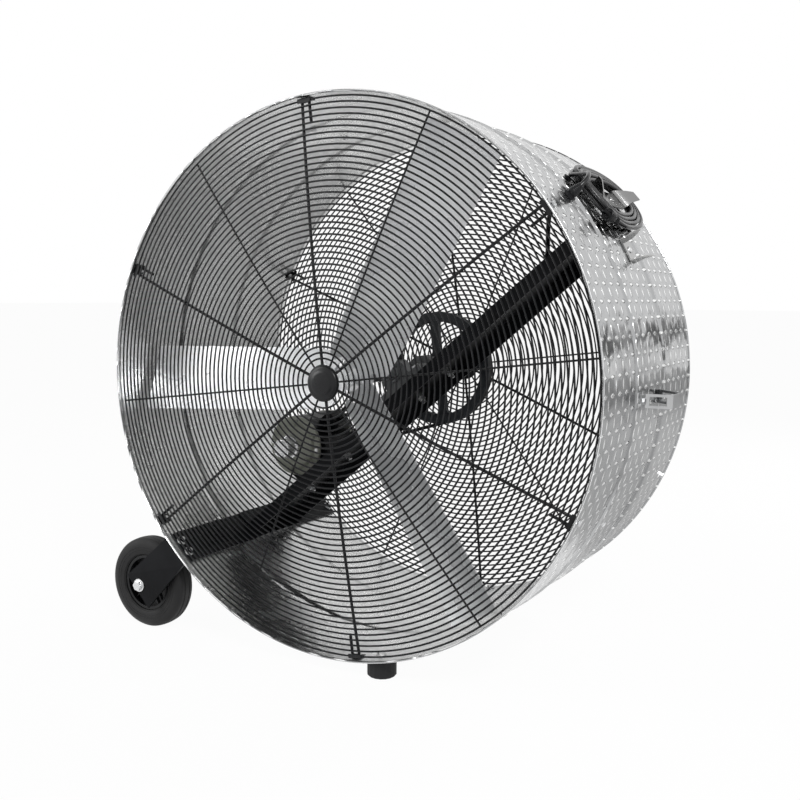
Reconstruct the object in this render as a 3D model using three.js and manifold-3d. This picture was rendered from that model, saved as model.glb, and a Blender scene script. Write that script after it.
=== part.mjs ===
// Belt-driven drum fan: a tread-plate drum between two wire guards, a diagonal channel that carries
// the shaft bearings and the motor, a three-bladed rotor, two wheels, two feet and a stored cord.
// Millimetres. X is to the right as seen from the front, Y to the rear and Z up, with the floor at 0.
import * as THREE from 'three';
import { mergeVertices } from 'three/addons/utils/BufferGeometryUtils.js';
import Module from 'manifold-3d';

const wasm = await Module();
wasm.setup();

// ---- clearances ----
const seatGap = 0.3;
const boreGap = 0.3;

// ---- drum ----
const drumRadius = 553.4;
const drumLength = 610;
const drumSheet = 2.4;
const drumFacets = 48;
const facetPhase = 1.45;
const groundGap = 26.6;
const axisHeight = drumRadius + groundGap;
const lipRise = 1.6;
const lipRadius = drumRadius + lipRise;
const lipWidth = 6;
const beadHeight = 3.6;
const beadWidth = 20;
const frontBead = -105;
const beadRoom = 12;

// ---- guards ----
const guardRings = 4;
const guardRoom = 7.9;
const guardRadius = drumRadius - guardRoom;
const guardInnerRing = 90;
const guardWire = 1.9;
const guardDepth = 12;
const guardDome = 25;
const guardFacets = 24;
const guardBend = 0.55;
const spokeCount = 12;
const thickSpoke = 3;
const thinSpoke = 1.9;
const spokeWeld = 0.8;
const spokeClock = 97;
const capRadius = 38;
const capThickness = 8;
const plateRadius = 42;
const plateThickness = 3;
const hookWidth = 24;
const hookStub = 50;
const hookRadius = guardRadius - 1.5;

// ---- guard clips ----
const clipSheet = 1.7;
const clipWidth = 20;
const clipReach = 15;
const clipDrop = 17;
const clipBolt = 3;
const clipHead = 6.5;

// ---- strap inside the drum and the wheels on it ----
const strapAngle = -135.7;
const strapWidth = 75;
const strapSheet = 5;
const strapInset = 20;
const strapBoltPitch = 30;
const strapHole = 3.5;
const bracketSheet = 5;
const bracketLeg = 62;
const bracketOverhang = 154.6;
const bracketReach = drumRadius + bracketOverhang;
const bracketEndWidth = 90;
const bracketFold = 7;
const bracketBolt = 5;
const bracketBoltInset = 28;
const wheelRadius = 102;
const wheelWidth = 50;
const wheelOffset = 44;
const wheelReach = bracketReach - 16;
const tyreInner = 63;
const hubBoss = 20;
const hubWindows = 5;
const axleRadius = 8;
const axleHead = 13.5;
const axleHeadHeight = 9;

// ---- feet ----
const footOffset = 104;
const footInset = 40;
const footRadius = 29.5;
const footTaper = 3;
const footBolt = 5;

// ---- diagonal channel ----
const braceAngle = 40;
const channelFace = -37;
const channelSheet = 5;
const channelFlange = 29;
const channelFront = -56;
const channelDepth = 197;
const channelPad = 5;
const padHalfWidth = 74;
const padBolt = 5;
const padInset = 22;

// ---- shaft, bearings and rotor ----
const shaftRadius = 12.5;
const shaftFront = -222;
const shaftRear = 200;
const bearingFront = -30;
const bearingRear = 104;
const bearingWidth = 38;
const bearingLength = 130;
const bearingRound = 34;
const bearingRing = 20;
const bearingRingWidth = 46;
const bearingBase = 15;
const bearingBoltPitch = 95;
const bearingBolt = 5;
const bladeCount = 3;
const bladeClock = 62;
const bladePlane = -215;
const bladeGap = 20.4;
const bladeTip = drumRadius - bladeGap;
const bladeRoot = 62;
const bladeRootHalf = 44;
const bladeTipHalf = 70;
const bladePitch = 27;
const bladeTipPitch = 23;
const bladeCamber = 9;
const bladeSheet = 2.5;
const bladeFlat = 160;
const rivetRadius = 3.5;
const rivetPlaces = [84, 130];
const hubRadius = 24;
const hubLength = 52;
const armSheet = 6;
const armReach = 150;
const armHalf = 26;
const pulleyPlane = 178;
const pulleyRadius = 133;
const pulleyWidth = 24;
const pulleyArm = 21;
const pulleyClock = 7;
const pulleyHub = 30;
const grooveDepth = 12;
const beltTop = 12.7;
const beltDepth = 8;
const beltInset = 1;
const beltFlank = 0.6;

// ---- motor ----
const motorInset = 223.4;
const motorAlong = motorInset - drumRadius;
const motorRadius = 70;
const motorFacets = 16;
const motorFront = -32;
const motorLength = 150;
const bellDepth = 22;
const bossRadius = 22;
const bossDepth = 45;
const rearBossDepth = 11;
const bellRim = 1.5;
const shaftSocket = 20;
const bellSlots = 6;
const motorShaft = 8;
const smallPulleyRadius = 38;
const baseLength = 158;
const baseDepth = 112;
const baseSheet = 5;
const baseBoltPitch = baseLength - 24;
const baseBolt = 5;
const boxDepth = 26;
const boxWidth = 62;
const boxHeight = 46;
const boxCover = 6;

// ---- handle, cord brackets ----
const handleAngle = -2.7;
const handlePlace = 2;
const handleSpan = 158;
const handleFoot = 26;
const handleRamp = 24;
const handleWidth = 27;
const handleSheet = 3;
const windowLength = 33;
const windowWidth = 17;
const handleBolt = 4;
const cleatSheet = 3;
const cleatWidth = 46;
const cleatFlare = 12;
const cleatTaper = 0.62;
const longCleatHeight = 60;
const shortCleatHeight = 40;
const longCleatAngle = 41.5;
const longCleatPlace = 95;
const longCleatLength = 150;
const shortCleatAngle = 28.1;
const shortCleatPlace = 34;
const shortCleatLength = 50;
const shortCleatWidth = 52;

// ---- cord ----
const cordRadius = 4.5;
const glandAngle = 39.7;
const glandPlace = -143;
const glandRadius = 12;
const glandHeight = 14;
const windingColumns = 4;
const windingPitch = 10.4;
const windingRise = 9.1;
const windingBase = drumRadius + windingRise;
const windingPlace = 90;
const windingHalfLength = 97;
const windingHalfWidth = 42;
const windingSag = 26;
const windingStart = 0.12;
const windingTurns = 6.74;
const rowChange = 0.22;
const loopSteps = 24;
const loopSides = 6;
const loopPower = 2.6;
const plugRadius = 13;
const plugLength = 40;
const reliefRadius = 8;
const reliefLength = 14;
const pinLength = 16;

// ---- derived places ----
const frontEdge = -drumLength / 2;
const rearEdge = drumLength / 2;
const drumInner = drumRadius - drumSheet;
const facetAngle = 360 / drumFacets;
const flatCosine = Math.cos(THREE.MathUtils.degToRad(facetAngle / 2));
const strapInner = drumInner - seatGap - strapSheet;
const innerSeat = drumInner * flatCosine - seatGap;
const outerSeat = drumRadius * flatCosine + 2 * seatGap;
const rearBead = handlePlace + handleSpan / 2 + beadRoom;
const footAngle = -THREE.MathUtils.radToDeg(Math.acos(footOffset / drumRadius));
const guardEdge = frontEdge + guardDepth;

// ---- materials ----
function paint(name, color, roughness, metalness) {
  return new THREE.MeshStandardMaterial({ name, color, roughness, metalness });
}
const treadPlate = paint('tread_plate', 0xc4c6c8, 0.28, 0.95);
const satinAluminium = paint('satin_aluminium', 0xb6babd, 0.35, 0.9);
const blackPaint = paint('black_paint', 0x15161a, 0.45, 0.2);
const blackWire = paint('black_wire', 0x1b1c1f, 0.4, 0.2);
const greyCasting = paint('grey_casting', 0x3c3f43, 0.5, 0.5);
const zincSteel = paint('zinc_steel', 0xc9cbcc, 0.3, 0.95);
const brightSteel = paint('bright_steel', 0xa9adb0, 0.25, 1);
const bellEnamel = paint('bell_enamel', 0x77796d, 0.5, 0.3);
const blackRubber = paint('black_rubber', 0x1a1a1b, 0.85, 0);
const blackPlastic = paint('black_plastic', 0x17181a, 0.55, 0);
const cordJacket = paint('cord_jacket', 0x202022, 0.6, 0);

const radians = THREE.MathUtils.degToRad;
const weldSize = 0.02;

// ---- solids ----
function toSolid(geometry) {
  const bare = geometry.clone();
  bare.deleteAttribute('normal');
  bare.deleteAttribute('uv');
  const merged = mergeVertices(bare, 1e-4);
  const corners = merged.index.array;
  const kept = [];
  for (let i = 0; i < corners.length; i += 3) {
    const [a, b, c] = [corners[i], corners[i + 1], corners[i + 2]];
    if (a !== b && b !== c && c !== a) kept.push(a, b, c);
  }
  const mesh = new wasm.Mesh({
    numProp: 3,
    vertProperties: new Float32Array(merged.attributes.position.array),
    triVerts: new Uint32Array(kept),
  });
  return new wasm.Manifold(mesh);
}

function toGeometry(solid) {
  const mesh = solid.simplify(weldSize).getMesh();
  const geometry = new THREE.BufferGeometry();
  geometry.setAttribute('position', new THREE.BufferAttribute(new Float32Array(mesh.vertProperties), 3));
  geometry.setIndex(new THREE.BufferAttribute(new Uint32Array(mesh.triVerts), 1));
  geometry.computeVertexNormals();
  return geometry;
}

function joined(geometries) {
  return geometries.map(toSolid).reduce((sum, piece) => sum.add(piece));
}

function without(solid, geometries) {
  return geometries.map(toSolid).reduce((rest, cutter) => rest.subtract(cutter), solid);
}

function mirrored(geometry) {
  const copy = geometry.clone().scale(1, -1, 1);
  const index = copy.index.array;
  for (let i = 0; i < index.length; i += 3) [index[i], index[i + 1]] = [index[i + 1], index[i]];
  return copy;
}

function box(x0, x1, y0, y1, z0, z1) {
  return new THREE.BoxGeometry(x1 - x0, y1 - y0, z1 - z0)
    .translate((x0 + x1) / 2, (y0 + y1) / 2, (z0 + z1) / 2);
}

// A revolved solid about Y: [radius, y] points run from low y, out and up, and back to the start.
function revolved(profile, facets, clock = 0) {
  const points = profile.map(([radius, y]) => new THREE.Vector2(radius, y));
  return new THREE.LatheGeometry(points, facets, radians(90 - clock), 2 * Math.PI);
}

function rodAlongY(radius, y0, y1, facets = 12) {
  return revolved([[0, y0], [radius, y0], [radius, y1], [0, y1]], facets);
}

function tubeAlongY(inner, outer, y0, y1, facets, clock = 0) {
  return revolved([[inner, y0], [outer, y0], [outer, y1], [inner, y1], [inner, y0]], facets, clock);
}

// The radius of a faceted bore that a round piece turns in, whatever way the piece stands.
function roundBore(radius, facets = 12) {
  return (radius + boreGap) / Math.cos(Math.PI / facets);
}

function rodAlongX(radius, x0, x1, facets = 6) {
  return rodAlongY(radius, x0, x1, facets).rotateZ(-Math.PI / 2);
}

function rodAlongZ(radius, z0, z1, facets = 6) {
  return rodAlongY(radius, z0, z1, facets).rotateX(Math.PI / 2);
}

// An outline in X and Z, drawn out along Y.
function plateAlongY(shape, y0, y1, curveSegments = 4) {
  return new THREE.ExtrudeGeometry(shape, { depth: y1 - y0, bevelEnabled: false, curveSegments })
    .rotateX(Math.PI / 2)
    .translate(0, y1, 0);
}

function polygon(radius, sides) {
  return new THREE.Shape(Array.from({ length: sides }, (_, i) => new THREE.Vector2(
    radius * Math.cos(2 * Math.PI * i / sides), radius * Math.sin(2 * Math.PI * i / sides))));
}

function outline(points) {
  return new THREE.Shape(points.map(([x, z]) => new THREE.Vector2(x, z)));
}

// Turns a piece that points along +X to the drum's clock angle, at a place along the drum.
function atWall(geometry, angle, y = 0) {
  return geometry.rotateY(-radians(angle)).translate(0, y, 0);
}

function drumBand(inner, outer, y0, y1) {
  return tubeAlongY(inner, outer, y0, y1, drumFacets, facetPhase);
}

function drumCore(radius, y0, y1) {
  return revolved([[0, y0], [radius, y0], [radius, y1], [0, y1]], drumFacets, facetPhase);
}

function place(group, name, solid, material) {
  const mesh = new THREE.Mesh(solid.isBufferGeometry ? solid : toGeometry(solid), material);
  mesh.name = name;
  group.add(mesh);
  return mesh;
}

const fan = new THREE.Group();
const drum = new THREE.Group();
drum.position.z = axisHeight;
fan.add(drum);
const brace = new THREE.Group();
brace.rotation.y = -radians(braceAngle);
drum.add(brace);

// The wheels touch the floor, and the handle reaches as far out as they do.
const strapTurn = radians(strapAngle);
const wheelAcross = (wheelRadius - axisHeight - wheelReach * Math.sin(strapTurn)) / Math.cos(strapTurn);
const wheelX = wheelReach * Math.cos(strapTurn) - wheelAcross * Math.sin(strapTurn);
const handleTurn = radians(Math.abs(handleAngle));
const handleTop = (wheelRadius - wheelX - handleWidth / 2 * Math.sin(handleTurn)) / Math.cos(handleTurn)
  - handleSheet;

// Every place where a fastener or the cord goes through the drum's wall.
const clipAngles = Array.from({ length: spokeCount / 2 }, (_, i) => (
  spokeClock - 60 * i - THREE.MathUtils.radToDeg(hookWidth / 2 / guardRadius)));
const clipPlace = guardEdge + clipReach;
const padAngles = [-1, 1].map((side) => braceAngle + side * THREE.MathUtils.radToDeg(
  (padHalfWidth - 14) / drumRadius));
const padPlaces = [channelFront + padInset, channelFront + channelDepth - padInset];
const handleStart = handlePlace - handleSpan / 2;
const longCleatBolts = [-longCleatLength / 4, longCleatLength / 4];
const handleBoltPlaces = [handleStart + handleFoot / 2, handleStart + handleSpan - handleFoot / 2];

// ---- drum shell ----
function makeShell() {
  const crest = drumRadius + beadHeight;
  const beads = [frontBead, rearBead];
  const half = beadWidth / 2;
  const outside = beads.flatMap((y) => [
    [drumRadius, y - half], [crest, y - half / 2], [crest, y + half / 2], [drumRadius, y + half]]);
  const profile = [
    [drumInner, frontEdge], [lipRadius, frontEdge],
    [lipRadius, frontEdge + lipWidth - 1], [drumRadius, frontEdge + lipWidth],
    ...outside,
    [drumRadius, rearEdge - lipWidth], [lipRadius, rearEdge - lipWidth + 1],
    [lipRadius, rearEdge], [drumInner, rearEdge],
    [drumInner, frontEdge],
  ];
  const wall = toSolid(revolved(profile, drumFacets, facetPhase));
  const hole = (radius, angle, y) => atWall(
    rodAlongX(roundBore(radius, 6), drumInner - 8, lipRadius + 8), angle, y);
  const holes = [hole(cordRadius + 2, glandAngle, glandPlace)];
  for (const angle of clipAngles) {
    holes.push(hole(clipBolt, angle, clipPlace), hole(clipBolt, angle, -clipPlace));
  }
  for (const angle of padAngles) {
    for (const y of padPlaces) holes.push(hole(padBolt, angle, y));
  }
  for (const y of handleBoltPlaces) holes.push(hole(handleBolt, handleAngle, y));
  for (const { across, y } of bracketBolts()) {
    holes.push(atStrap(rodAlongX(bracketBolt + boreGap, drumInner - 8, lipRadius + 8), across, y));
  }
  for (const y of padPlaces) holes.push(hole(padBolt, strapAngle, y));
  for (const y of longCleatBolts) holes.push(hole(handleBolt, longCleatAngle, longCleatPlace + y));
  holes.push(hole(handleBolt, shortCleatAngle, shortCleatPlace));
  for (const side of [-1, 1]) holes.push(hole(footBolt, footAngle, side * (rearEdge - footInset)));
  return without(wall, holes);
}

// ---- guards ----
// The guards bulge outwards; their wires follow straight chords between a few stations.
function guardHeight(radius) {
  const stations = [0, guardBend, 1].map((share) => share * guardRadius);
  const bulge = (r) => guardEdge - guardDome * (1 - (r / guardRadius) ** 2);
  const k = Math.max(1, stations.findIndex((r) => radius <= r + 0.01));
  const [a, b] = [stations[k - 1], stations[k]];
  return THREE.MathUtils.mapLinear(radius, a, b, bulge(a), bulge(b));
}

function guardRing(radius) {
  const y = guardHeight(Math.min(radius, guardRadius));
  const side = guardWire * Math.sin(radians(60));
  const facets = radius < 400 ? guardFacets / 2 : guardFacets;
  const profile = [
    [radius - side, y - guardWire / 2], [radius + side, y - guardWire / 2],
    [radius, y + guardWire], [radius - side, y - guardWire / 2]];
  return revolved(profile, facets, spokeClock + 180 / facets);
}

// A square wire through two points of the guard, given as [radius, y] at one clock angle.
function guardRod([r0, y0], [r1, y1], half) {
  const section = (r, y) => [
    [r, y - half, half], [r, y + half, half], [r, y + half, -half], [r, y - half, -half]];
  const points = [...section(r0, y0), ...section(r1, y1)].flat();
  const index = [0, 1, 2, 0, 2, 3, 4, 6, 5, 4, 7, 6];
  for (let i = 0; i < 4; i += 1) {
    const j = (i + 1) % 4;
    index.push(i, i + 4, j + 4, i, j + 4, j);
  }
  const geometry = new THREE.BufferGeometry();
  geometry.setAttribute('position', new THREE.Float32BufferAttribute(points, 3));
  geometry.setIndex(index);
  return geometry;
}

function guardSpoke(angle, half) {
  const lift = guardWire + half - spokeWeld;
  const tip = half === thickSpoke ? hookRadius : guardRadius;
  const ends = [plateRadius - 8, guardBend * guardRadius, tip];
  const pieces = [];
  for (let i = 0; i < ends.length - 1; i += 1) {
    const [a, b] = [ends[i], ends[i + 1]];
    pieces.push(guardRod([a, guardHeight(a) + lift], [b, guardHeight(b) + lift], half));
  }
  return pieces.map((piece) => atWall(piece, angle));
}

// The thick spokes end in a hook: across along the rim, then a stub that runs back inwards.
function guardHook(angle) {
  const y = guardHeight(guardRadius) + guardWire + thickSpoke - spokeWeld;
  const across = guardRod([-thickSpoke, 0], [hookWidth + thickSpoke, 0], thickSpoke)
    .rotateY(Math.PI / 2)
    .translate(hookRadius - thickSpoke, y, 0);
  const stub = guardRod([hookRadius - hookStub, y], [hookRadius - thickSpoke, y], thickSpoke)
    .translate(0, 0, -hookWidth);
  return [across, stub].map((piece) => atWall(piece, angle));
}

function makeGuard(middle = []) {
  const pieces = [...middle];
  const step = (guardRadius - guardInnerRing) / (guardRings - 1);
  for (let i = 0; i < guardRings; i += 1) pieces.push(guardRing(guardInnerRing + i * step));
  for (let i = 0; i < spokeCount; i += 1) {
    const angle = spokeClock - (360 / spokeCount) * i;
    const thick = i % 2 === 0;
    pieces.push(...guardSpoke(angle, thick ? thickSpoke : thinSpoke));
    if (thick) pieces.push(...guardHook(angle));
  }
  const plateFace = guardHeight(plateRadius) - 1;
  pieces.push(rodAlongY(plateRadius, plateFace, plateFace + plateThickness + 4, 16));
  return toGeometry(joined(pieces));
}

const capFace = guardHeight(plateRadius) - 1 - seatGap;

function makeCap() {
  const face = capFace;
  return revolved([
    [0, face - capThickness], [capRadius * 0.62, face - capThickness + 1],
    [capRadius * 0.7, face - capThickness + 2.2], [capRadius - 3, face - capThickness + 3],
    [capRadius, face - 2], [capRadius, face], [0, face]], 16);
}

// A stamped clip: a leg on the wall, held by its bolt, and a lip in front of the hook.
function makeClip(angle) {
  const lipFace = guardEdge - guardWire / 2 - seatGap - clipSheet;
  const legEnd = clipPlace + clipBolt + 6;
  const [inside, end] = [innerSeat - clipSheet, innerSeat - clipDrop];
  const sheet = new THREE.ExtrudeGeometry(outline([
    [innerSeat, lipFace], [innerSeat, legEnd], [inside, legEnd], [inside, lipFace + clipSheet],
    [end, lipFace + clipSheet], [end, lipFace]]), { depth: clipWidth, bevelEnabled: false })
    .translate(0, 0, -clipWidth / 2);
  const shank = rodAlongX(clipBolt, innerSeat - 4, lipRadius, 6);
  const head = rodAlongX(clipHead, drumRadius + seatGap, drumRadius + 4.5, 6);
  const bolt = [shank, head].map((piece) => piece.translate(0, clipPlace, 0));
  return atWall(toGeometry(joined([sheet, ...bolt])), angle);
}

// ---- strap inside the drum, wheel brackets and wheels ----

function atStrap(geometry, across = 0, y = 0) {
  return atWall(geometry.translate(0, 0, across), strapAngle, y);
}

function bracketBolts() {
  const y = frontEdge + bracketBoltInset;
  const half = strapBoltPitch / 2;
  return [y, -y].flatMap((place) => [-half, half].map((across) => ({ across, y: place })));
}

function strapSector(inner, outer, y0, y1) {
  const sector = atStrap(box(inner - 30, outer + 30, y0, y1, -strapWidth / 2, strapWidth / 2));
  return toSolid(drumBand(inner, outer, y0, y1)).intersect(toSolid(sector));
}

function makeStrap() {
  const strap = strapSector(strapInner, drumInner - seatGap, frontEdge + strapInset, rearEdge - strapInset);
  const holes = bracketBolts().map(({ across, y }) => atStrap(
    rodAlongX(bracketBolt + boreGap, strapInner - 15, drumInner + 5), across, y));
  for (const y of [frontEdge + 118, frontEdge + 162]) {
    for (const across of [-1, 1]) {
      holes.push(atStrap(rodAlongX(strapHole, strapInner - 15, drumInner + 5, 6),
        across * strapBoltPitch / 2, y));
    }
  }
  for (const y of padPlaces) {
    holes.push(atStrap(rodAlongX(padBolt + boreGap, strapInner - 15, drumInner + 5), 0, y));
  }
  return without(strap, holes);
}

// The ear that carries the wheel: a strip bent out of the leg, creased from corner to corner.
function makeBracket() {
  const foot = lipRadius + seatGap;
  const inner = strapWidth / 2;
  const outer = bracketEndWidth / 2;
  const [a, b] = [[foot, -inner], [foot, inner]];
  const [c, d] = [[bracketReach - 4, -outer], [bracketReach, outer]];
  const [runX, runZ] = [b[0] - c[0], b[1] - c[1]];
  const run = Math.hypot(runX, runZ);
  const rise = Math.tan(radians(bracketFold));
  const face = (corners) => {
    const plate = plateAlongY(outline(corners), frontEdge, frontEdge + bracketSheet);
    const points = plate.attributes.position;
    for (let i = 0; i < points.count; i += 1) {
      const side = ((points.getX(i) - c[0]) * runZ - (points.getZ(i) - c[1]) * runX) / run;
      points.setY(i, points.getY(i) + Math.max(0, -side) * rise);
    }
    return atStrap(plate);
  };
  const leg = strapSector(foot, foot + bracketSheet, frontEdge + 3, frontEdge + bracketLeg);
  const bore = atStrap(rodAlongY(axleRadius + boreGap, frontEdge - 20, frontEdge + 20)
    .translate(wheelReach, 0, wheelAcross));
  const ear = without(leg.add(toSolid(face([a, b, c]))).add(toSolid(face([b, d, c]))), [bore]);
  const nutSeat = strapInner * flatCosine - 4 * seatGap;
  const bolts = bracketBolts().filter(({ y }) => y < 0).flatMap(({ across, y }) => [
    atStrap(rodAlongX(bracketBolt, strapInner - 8, foot + bracketSheet), across, y),
    atStrap(rodAlongX(bracketBolt + 4, nutSeat - 6, nutSeat), across, y),
    atStrap(rodAlongX(bracketBolt + 4, foot + bracketSheet - 2, foot + bracketSheet + 5, 6), across, y)]);
  return bolts.map(toSolid).reduce((sum, bolt) => sum.add(bolt), ear);
}

function makeTyre() {
  const half = wheelWidth / 2;
  return revolved([
    [tyreInner, -half + 4], [tyreInner + 9, -half], [wheelRadius - 12, -half],
    [wheelRadius, -half + 12], [wheelRadius, half - 12], [wheelRadius - 12, half],
    [tyreInner + 9, half], [tyreInner, half - 4], [tyreInner, -half + 4]], 20);
}

const hubFace = bracketSheet + seatGap - wheelOffset;

function makeWheelHub() {
  const half = wheelWidth / 2;
  const rim = tyreInner - seatGap;
  const rimInner = rim - 7;
  const disc = polygon(rim - 2, 20);
  const step = 2 * Math.PI / hubWindows;
  for (let i = 0; i < hubWindows; i += 1) {
    const window = new THREE.Path();
    window.absarc(0, 0, rimInner - 4, i * step, (i + 0.74) * step);
    window.absarc(0, 0, hubBoss + 5, (i + 0.66) * step, (i + 0.08) * step, true);
    disc.holes.push(window);
  }
  const web = plateAlongY(disc, -6, 6, 2);
  const band = tubeAlongY(rimInner, rim, -half + 6, half - 6, 20);
  const boss = rodAlongY(hubBoss, hubFace, half + 8, 12);
  return without(joined([web, band, boss]), [rodAlongY(roundBore(axleRadius), -60, 60)]);
}

function makeAxleBolt() {
  const head = -wheelOffset - seatGap;
  const nut = wheelWidth / 2 + 8 + seatGap;
  return joined([
    rodAlongY(axleHead, head - axleHeadHeight, head, 6),
    rodAlongY(axleRadius, head - 1, nut + 14),
    rodAlongY(axleHead - 1, nut, nut + 9, 6)]);
}

// ---- feet ----
function makeFoot() {
  const y = frontEdge + footInset;
  const rubber = revolved([
    [0, -axisHeight], [footRadius - footTaper, -axisHeight], [footRadius, -axisHeight + footTaper],
    [footRadius, -drumRadius * 0.95], [0, -drumRadius * 0.95]], 16)
    .rotateX(Math.PI / 2).translate(footOffset, y, 0);
  const bolt = atWall(rodAlongX(footBolt + boreGap, drumInner - 20, drumRadius + 16), footAngle, y);
  return without(toSolid(rubber), [drumCore(drumRadius + seatGap, y - 50, y + 50), bolt]);
}

function makeFootBolt() {
  const seat = innerSeat - seatGap;
  const washer = rodAlongX(11, seat - 1.5, seat, 12);
  const head = rodAlongX(8, seat - 7, seat - 1, 6);
  const shank = rodAlongX(footBolt, seat - 2, drumRadius + 15.5);
  return atWall(toGeometry(joined([washer, head, shank])), footAngle, frontEdge + footInset);
}

// ---- diagonal channel, in its own frame: x along it, z square to its face ----
const channelBack = channelFront + channelDepth;
const channelBolts = [bearingFront, bearingRear].flatMap((y) => [-1, 1].map(
  (side) => [side * bearingBoltPitch / 2, y]));
const baseMiddle = channelFront + channelDepth / 2 + 4;
const baseBolts = [-1, 1].map((side) => [motorAlong + side * baseBoltPitch / 2, baseMiddle]);
const motorBottom = channelFace + seatGap;

function makeChannel() {
  const low = channelFace - channelFlange;
  const shape = outline([
    [channelFront, low], [channelFront + channelSheet, low],
    [channelFront + channelSheet, channelFace - channelSheet],
    [channelBack - channelSheet, channelFace - channelSheet], [channelBack - channelSheet, low],
    [channelBack, low], [channelBack, channelFace], [channelFront, channelFace]]);
  const reach = drumRadius + 20;
  const beam = new THREE.ExtrudeGeometry(shape, { depth: 2 * reach, bevelEnabled: false })
    .rotateX(Math.PI / 2).rotateZ(Math.PI / 2).translate(-reach, 0, 0);
  const turned = (geometry) => geometry.rotateY(radians(braceAngle));
  const padInner = drumInner - seatGap - channelPad;
  const pad = toSolid(turned(drumBand(padInner, drumInner - seatGap, channelFront, channelBack)))
    .intersect(toSolid(box(padInner - 60, drumRadius, channelFront, channelBack,
      -padHalfWidth, padHalfWidth)));
  const footOuter = strapInner - seatGap;
  const foot = toSolid(turned(drumBand(footOuter - channelPad, footOuter, channelFront, channelBack)))
    .intersect(toSolid(box(strapInner - 60, drumRadius, channelFront, channelBack,
      -strapWidth / 2, strapWidth / 2).rotateY(radians(braceAngle - strapAngle))));
  const part = (radius, x0, x1) => toSolid(beam)
    .intersect(toSolid(turned(drumCore(radius, channelFront - 10, channelBack + 10))))
    .intersect(toSolid(box(x0, x1, channelFront - 10, channelBack + 10, low - 10, channelFace + 10)));
  const upper = part(drumInner - seatGap, -1, reach);
  const lower = part(footOuter, -reach, 0);
  const holes = [...channelBolts, ...baseBolts].map(([x, y]) => rodAlongZ(
    bearingBolt + boreGap, channelFace - channelSheet - 5, channelFace + 5).translate(x, y, 0));
  for (const y of longCleatBolts) {
    holes.push(atWall(rodAlongX(handleBolt + 4, padInner - 10, drumInner),
      longCleatAngle - braceAngle, longCleatPlace + y));
  }
  const bolts = [...padAngles, strapAngle].flatMap((angle) => padPlaces.flatMap((y) => [
    atWall(rodAlongX(padBolt, padInner - channelPad, drumRadius + 3), angle - braceAngle, y),
    atWall(rodAlongX(padBolt + 4, drumRadius + seatGap, drumRadius + 4), angle - braceAngle, y)]));
  return bolts.map(toSolid).reduce((sum, bolt) => sum.add(bolt),
    without(upper.add(lower).add(pad).add(foot), holes));
}

// ---- bearings ----
function makeBearing(y) {
  const low = channelFace + seatGap;
  const half = bearingWidth / 2;
  const base = box(-bearingLength / 2, bearingLength / 2, y - half, y + half, low, low + bearingBase);
  const saddle = plateAlongY(outline([
    [-bearingRound, low + 2], [bearingRound, low + 2], [bearingRound, 0], [-bearingRound, 0]]),
  y - half + 3, y + half - 3);
  const round = rodAlongY(bearingRound, y - half + 3, y + half - 3, 16);
  const race = rodAlongY(bearingRing, y - bearingRingWidth / 2, y + bearingRingWidth / 2, 12);
  const cuts = [rodAlongY(roundBore(shaftRadius), y - 60, y + 60)];
  for (const side of [-1, 1]) {
    cuts.push(rodAlongZ(bearingBolt + boreGap, low - 5, low + 30)
      .translate(side * bearingBoltPitch / 2, y, 0));
  }
  const nipple = rodAlongZ(5, bearingRound - 3, bearingRound + 9, 6).translate(0, y, 0);
  return without(joined([base, saddle, round, race, nipple]), cuts);
}

// A bolt down through a foot and the channel's face, with its nut and spare thread below.
function makeDownBolt([x, y], headSeat, spare) {
  const nutTop = channelFace - channelSheet - seatGap;
  return joined([
    rodAlongZ(bearingBolt + 4.2, headSeat + seatGap, headSeat + seatGap + 6, 6),
    rodAlongZ(bearingBolt, nutTop - spare, headSeat + 2),
    rodAlongZ(bearingBolt + 4.2, nutTop - 8, nutTop, 6)]).translate([x, y, 0]);
}

// ---- rotor ----
// A blade's sheet: flat at the root where it meets its arm, cambered and flatter towards the tip.
function bladePoint(radius, across, lift) {
  const share = THREE.MathUtils.clamp((radius - bladeFlat) / (bladeTip - bladeFlat), 0, 1);
  const half = THREE.MathUtils.mapLinear(radius, bladeRoot, bladeTip, bladeRootHalf, bladeTipHalf);
  const pitch = radians(THREE.MathUtils.lerp(bladePitch, bladeTipPitch, share));
  const w = across * half;
  const bow = lift + share * bladeCamber * (1 - across ** 2);
  const along = Math.sqrt(Math.max(radius ** 2 - w ** 2, 1));
  return [along, bladePlane + bow - w * Math.tan(pitch), w];
}

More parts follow.
